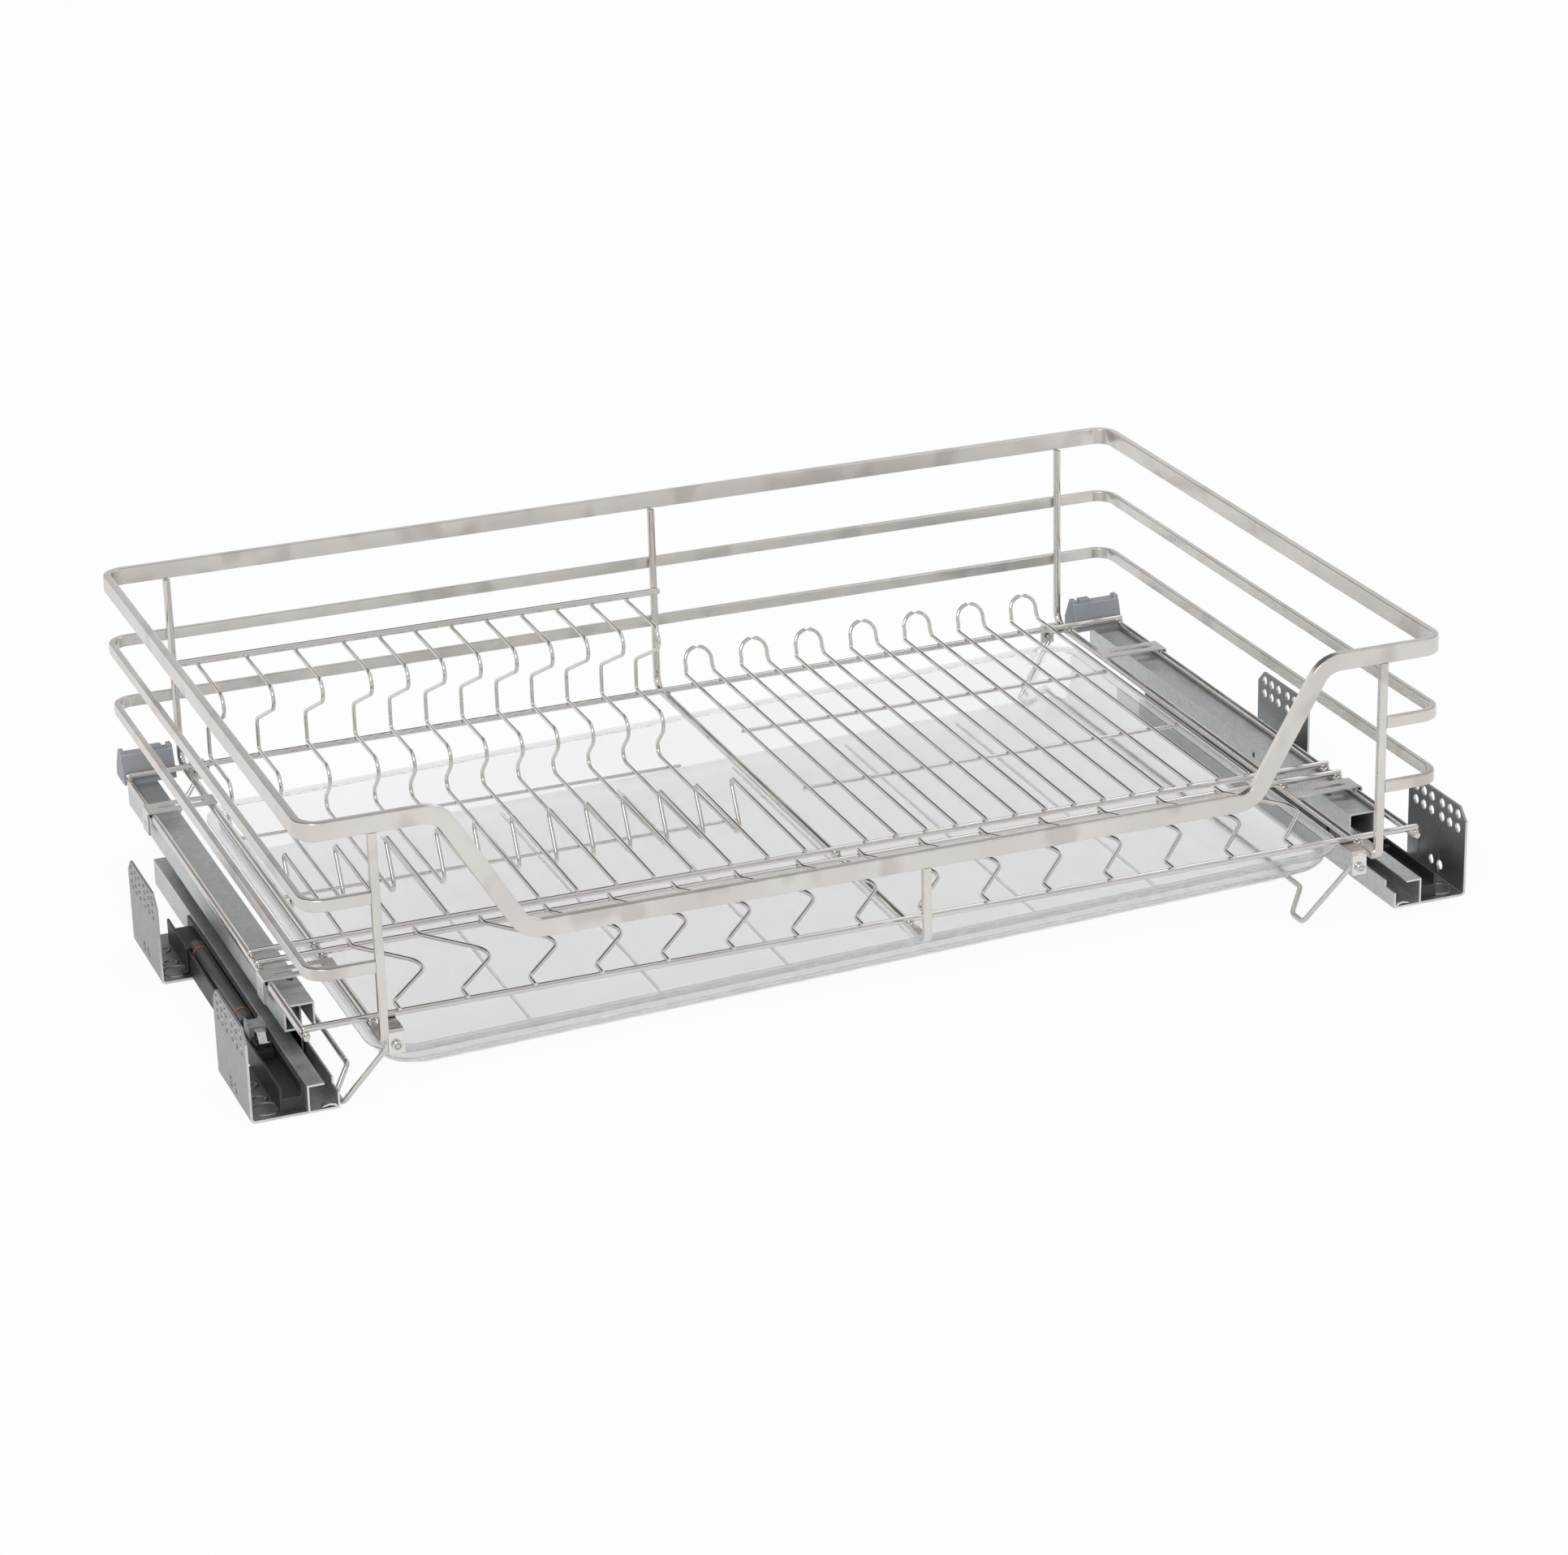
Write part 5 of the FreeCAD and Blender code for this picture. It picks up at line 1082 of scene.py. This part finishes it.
# %% Add every other node in one way
class Tree:
    """The node tree of a material or of the world."""

    def __init__(self, owner):
        owner.use_nodes = True
        self.tree = owner.node_tree

    def node(self, kind, settings=None, sockets=None, output=0):
        made = self.tree.nodes.new(kind)
        for key, value in (settings or {}).items():
            setattr(made, key, value)
        for socket, value in (sockets or {}).items():
            self.plug(made.inputs[socket], value)
        return Signal(self, made.outputs[output])

    def plug(self, socket, value):
        if isinstance(value, Signal):
            self.tree.links.new(value.socket, socket)
        else:
            socket.default_value = value

    def axis(self, name, source="Object"):
        """One coordinate: on the rack in metres, or of a direction for the world."""
        here = self.node("ShaderNodeTexCoord", output=source)
        return self.node("ShaderNodeSeparateXYZ", sockets={0: here}, output=name)

    def ray(self, kind):
        """1 where a ray of this kind looks, else 0."""
        return self.node("ShaderNodeLightPath", output=f"Is {kind} Ray")


class Finish(Tree):
    """The material for one slot of the record."""

    made = {}

    def __init__(self, name, color, **fixed):
        self.material = bpy.data.materials.new(name)
        super().__init__(self.material)
        self.shader = self.tree.nodes["Principled BSDF"]
        self.shader.inputs["Base Color"].default_value = (*color, 1)
        for socket, value in fixed.items():
            self.shader.inputs[socket.replace("_", " ")].default_value = value
        Finish.made[name] = self.material

    def feed(self, socket, value):
        self.plug(self.shader.inputs[socket], value)

    def place(self, stretch=(1, 1, 1)):
        """Where a point lies on the rack, stretched."""
        here = self.node("ShaderNodeTexCoord", output="Object")
        return self.node("ShaderNodeMapping", sockets={"Vector": here, "Scale": stretch})

    def grain(self, scale, detail=2, stretch=(1, 1, 1)):
        """Noise from 0 to 1."""
        return self.node("ShaderNodeTexNoise", sockets={
            "Vector": self.place(stretch), "Scale": scale, "Detail": detail})

    def worn_and_highlit(self):
        """1 on the edges and sheared sides that were marked, with a ragged strength: where wear
        and a painted edge highlight go.
        """
        edge = self.node("ShaderNodeAttribute", {"attribute_name": "edge"}, output="Fac")
        return edge * (0.55 + 0.7 * self.grain(130, 3)).clamp()

    def blend(self, factor, one, other):
        """A colour between two colours."""
        ends = [end if isinstance(end, Signal) else (*end, 1) for end in (one, other)]
        return self.node("ShaderNodeMix", {"data_type": "RGBA"},
                         {0: factor, 6: ends[0], 7: ends[1]}, output=2)

    def bumps(self, height, strength, distance):
        self.feed("Normal", self.node("ShaderNodeBump", sockets={
            "Height": height, "Strength": strength, "Distance": distance}))


# %% [markdown]
# ## Stainless steel
#
# The bars are drawn through a die and only lightly polished, so fine streaks follow the bar and
# soft grey clouds lie across it where the polishing belt dwelt. The wires are bright drawn. Their
# streaks are too fine to see, and their gloss wanders a little instead.

# %% Finish the stainless bars
DULL, BRIGHT = (0.60, 0.565, 0.53), (0.84, 0.81, 0.78)
STAINED, RUBBED_AND_HIGHLIT = (0.50, 0.46, 0.43), (0.9, 0.89, 0.87)
SIDE_BAND = 8 * MM
STREAK, FINE = 16, 22
steel = Finish("satin_steel", (0.72, 0.70, 0.67), Metallic=1.0, Roughness=0.28)
along_side = abs(steel.axis("X")) > BASKET_HALF - SIDE_BAND
streak_x = steel.grain(STREAK, 2, (1, FINE, FINE))
streak_y = steel.grain(STREAK, 2, (FINE, 1, FINE))
streak = streak_x * (1 - along_side) + streak_y * along_side
cloud = steel.grain(16, 3)
stain = ((steel.grain(34, 1) - 0.56) * 9).clamp()
tone = steel.blend(stain * 0.5, steel.blend(cloud, DULL, BRIGHT), STAINED)
# The marked edges are painted paler: wear plus a painted edge highlight
steel.feed("Base Color", steel.blend(steel.worn_and_highlit() * 0.6, tone, RUBBED_AND_HIGHLIT))
steel.feed("Roughness", 0.17 + 0.07 * streak + 0.06 * cloud)
steel.bumps(streak, 0.05, 0.0002)

# %% Finish the bright wires
wire = Finish("bright_wire", (0.72, 0.71, 0.69), Metallic=1.0, Roughness=0.16)
cloud = wire.grain(14, 2)
wire.feed("Base Color", wire.blend(cloud, (0.56, 0.535, 0.505), (0.78, 0.755, 0.73)))
wire.feed("Roughness", 0.05 + 0.09 * wire.grain(160, 2))

# %% [markdown]
# ## Plated steel
#
# Zinc sets in flat crystals, so a galvanised sheet is a patchwork of slightly different greys.
# Cells of noise give the patches. Where the sheet was sheared after plating, the cut is bare and
# bright: the faces marked as edges get that colour. On the bevelled edges that colour is also a
# painted edge highlight.

# %% Finish the zinc-plated and oiled steel
SPANGLE, CRYSTALS = 55, 440


def plated(name, dark, light, bare_and_highlit, rough):
    made = Finish(name, dark, Metallic=1.0, Roughness=rough)
    patches = made.node("ShaderNodeTexVoronoi", output="Color",
                        sockets={"Vector": made.place(), "Scale": CRYSTALS})
    tone = made.node("ShaderNodeSeparateColor", sockets={0: patches})
    wander = made.grain(SPANGLE, 3)
    sheet = made.blend((0.45 * tone + 0.55 * wander).clamp(), dark, light)
    # The marked edges are painted bright: bare cut metal plus a painted edge highlight
    made.feed("Base Color", made.blend(made.worn_and_highlit(), sheet, bare_and_highlit))
    made.feed("Roughness", rough - 0.08 + 0.18 * wander)
    made.bumps(made.grain(900, 2), 0.06, 0.0002)


plated("galvanised_steel", (0.54, 0.56, 0.56), (0.74, 0.765, 0.76), (0.82, 0.82, 0.81), 0.46)
plated("runner_steel", (0.10, 0.105, 0.11), (0.19, 0.195, 0.20), (0.4, 0.4, 0.4), 0.34)
plated("dark_coating", (0.33, 0.34, 0.345), (0.47, 0.48, 0.485), (0.74, 0.74, 0.74), 0.44)
plated("roller_steel", (0.6, 0.6, 0.6), (0.75, 0.75, 0.75), (0.8, 0.8, 0.8), 0.2)

# %% [markdown]
# ## Plastics
#
# The cages, troughs and clips are moulded: a fine spark-eroded grain, a soft sheen, and a colour
# that is not quite even. Handling polishes their edges, and the marked edges are painted a little
# paler: partly wear, partly a painted edge highlight.

# %% Finish the moulded pieces
SPARKS = 2100


def moulded(name, dark, light, rough):
    made = Finish(name, dark, Roughness=rough)
    wander = made.grain(40, 3)
    rubbed_and_highlit = tuple(1.5 * part + 0.03 for part in light)
    # The marked edges are painted paler: wear plus a painted edge highlight
    made.feed("Base Color", made.blend(made.worn_and_highlit() * 0.7, made.blend(wander, dark, light), rubbed_and_highlit))
    made.feed("Roughness", rough - 0.06 + 0.14 * wander)
    made.bumps(made.grain(SPARKS, 2), 0.08, 0.0002)


moulded("black_plastic", (0.018, 0.018, 0.019), (0.038, 0.038, 0.041), 0.4)
moulded("cylinder_plastic", (0.03, 0.03, 0.034), (0.07, 0.07, 0.075), 0.28)
moulded("grey_plastic", (0.27, 0.285, 0.315), (0.33, 0.345, 0.375), 0.42)
moulded("red_ring", (0.34, 0.045, 0.02), (0.46, 0.075, 0.035), 0.5)

# %% [markdown]
# ## Clear plastic
#
# A thin clear wall shows mostly what is behind it. Seen edge on, more plastic lies in the way and
# more light is mirrored, so the layer weight makes such places, and the rims, less see-through.

# %% Finish the tray
clear = Finish("clear_plastic", (0.77, 0.775, 0.775), Roughness=0.06, IOR=1.3,
               Transmission_Weight=1.0)
slant = clear.node("ShaderNodeLayerWeight", sockets={"Blend": 0.35}, output="Facing")
clear.feed("Alpha", (0.4 + 0.5 * slant).clamp())
clear.feed("Roughness", 0.04 + 0.08 * clear.grain(30, 3))
clear.bumps(clear.grain(60, 2), 0.03, 0.0005)

# %% Give every piece its finish
for thing in pieces:
    thing.data.materials.clear()
    thing.data.materials.append(Finish.made[thing["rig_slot"]])
print(len(pieces), "pieces,", len(Finish.made), "finishes")

# %% [markdown]
# ## Floor and light
#
# The rack stands on a plain pale floor under soft light. Metal shows what is round it, so floor
# and world are white to camera, gloss and glass, and gentler to everything else. A studio is dark
# high up behind the backdrop, and bright wires get their thin dark lines from that. Toward the
# lens it is a little dim, so that what faces the camera isn't washed out.

# %% Lay the floor
bm = bmesh.new()
bmesh.ops.create_grid(bm, x_segments=1, y_segments=1, size=30)
floor_mesh = bpy.data.meshes.new("floor")
bm.to_mesh(floor_mesh)
bm.free()
floor = bpy.data.objects.new("floor", floor_mesh)
bpy.context.scene.collection.objects.link(floor)
floor.location.z = -0.5 * MM
pale = Finish("pale_floor", (0.9, 0.9, 0.9), Roughness=0.9)
seen = pale.ray("Camera").highest(pale.ray("Transmission"))
shown = 0.92 * seen + 0.38 * pale.ray("Glossy")
glow = pale.node("ShaderNodeEmission", sockets={"Strength": 1.0})
lit = Signal(pale, pale.shader.outputs[0])
mixed = pale.node("ShaderNodeMixShader", sockets={0: shown, 1: lit, 2: glow})
pale.plug(pale.tree.nodes["Material Output"].inputs["Surface"], mixed)
floor.data.materials.append(pale.material)

# %% Light the world
ROOM_LEVEL = 0.72
DARK_BEHIND, DIM_FRONT = 0.88, 0.38
world = bpy.data.worlds.new("soft_room")
bpy.context.scene.world = world
room = Tree(world)
sky = room.tree.nodes["Background"]
sky.inputs["Color"].default_value = (1, 1, 1, 1)
height = room.axis("Z", "Generated")
depth = room.axis("Y", "Generated")
high_behind = (depth * 2.5).clamp() * ((height - 0.28) * 5).clamp()
toward_lens = (depth * -1.6).clamp() * (height * 3).clamp()
mirrored = 1 - (DARK_BEHIND * high_behind).highest(DIM_FRONT * toward_lens)
straight = room.ray("Camera").highest(room.ray("Transmission"))
glossy = room.ray("Glossy")
room.plug(sky.inputs["Strength"],
          straight + (1 - straight) * (glossy * mirrored + (1 - glossy) * ROOM_LEVEL))


# %% Hang two soft lamps
def lamp(name, place, target, size, power):
    light = bpy.data.lights.new(name, "AREA")
    light.shape, light.size, light.energy = "DISK", size, power
    holder = bpy.data.objects.new(name, light)
    bpy.context.scene.collection.objects.link(holder)
    holder.location = place
    holder.rotation_euler = (Vector(target) - Vector(place)).to_track_quat("-Z", "Y").to_euler()


RACK_MIDDLE = (0, 0, 0.05)
lamp("soft_box_left", (-1.5, -1.9, 2.0), RACK_MIDDLE, 1.4, 24)
lamp("soft_box_back", (1.5, 1.4, 2.6), RACK_MIDDLE, 1.2, 9)
bpy.context.scene.view_settings.view_transform = "Standard"

# %% [markdown]
# ## The camera
#
# The photograph looks down on the front left corner through a long lens. Its angles were worked
# out from the object's own straight lines, and the lens from its focal length in pixels.

# %% Place the camera
PICTURE_WIDTH = 1932
FOCAL_PIXELS = 5344.19
SENSOR = 36
AZIMUTH, ELEVATION, ROLL = radians(20.886), radians(21.842), radians(-1.492)
EYE = Vector((-0.871, -2.331, 1.0629))
ahead = Vector((sin(AZIMUTH) * cos(ELEVATION), cos(AZIMUTH) * cos(ELEVATION), -sin(ELEVATION)))
level_right = Vector((cos(AZIMUTH), -sin(AZIMUTH), 0))
upright = level_right.cross(ahead)
right = level_right * cos(ROLL) + upright * sin(ROLL)
up = upright * cos(ROLL) - level_right * sin(ROLL)
lens = bpy.data.cameras.new("lens")
lens.sensor_width = SENSOR
lens.lens = FOCAL_PIXELS * SENSOR / PICTURE_WIDTH
camera = bpy.data.objects.new("camera", lens)
bpy.context.scene.collection.objects.link(camera)
camera.matrix_world = Matrix.Translation(EYE) @ Matrix((right, up, -ahead)).transposed().to_4x4()
bpy.context.scene.camera = camera
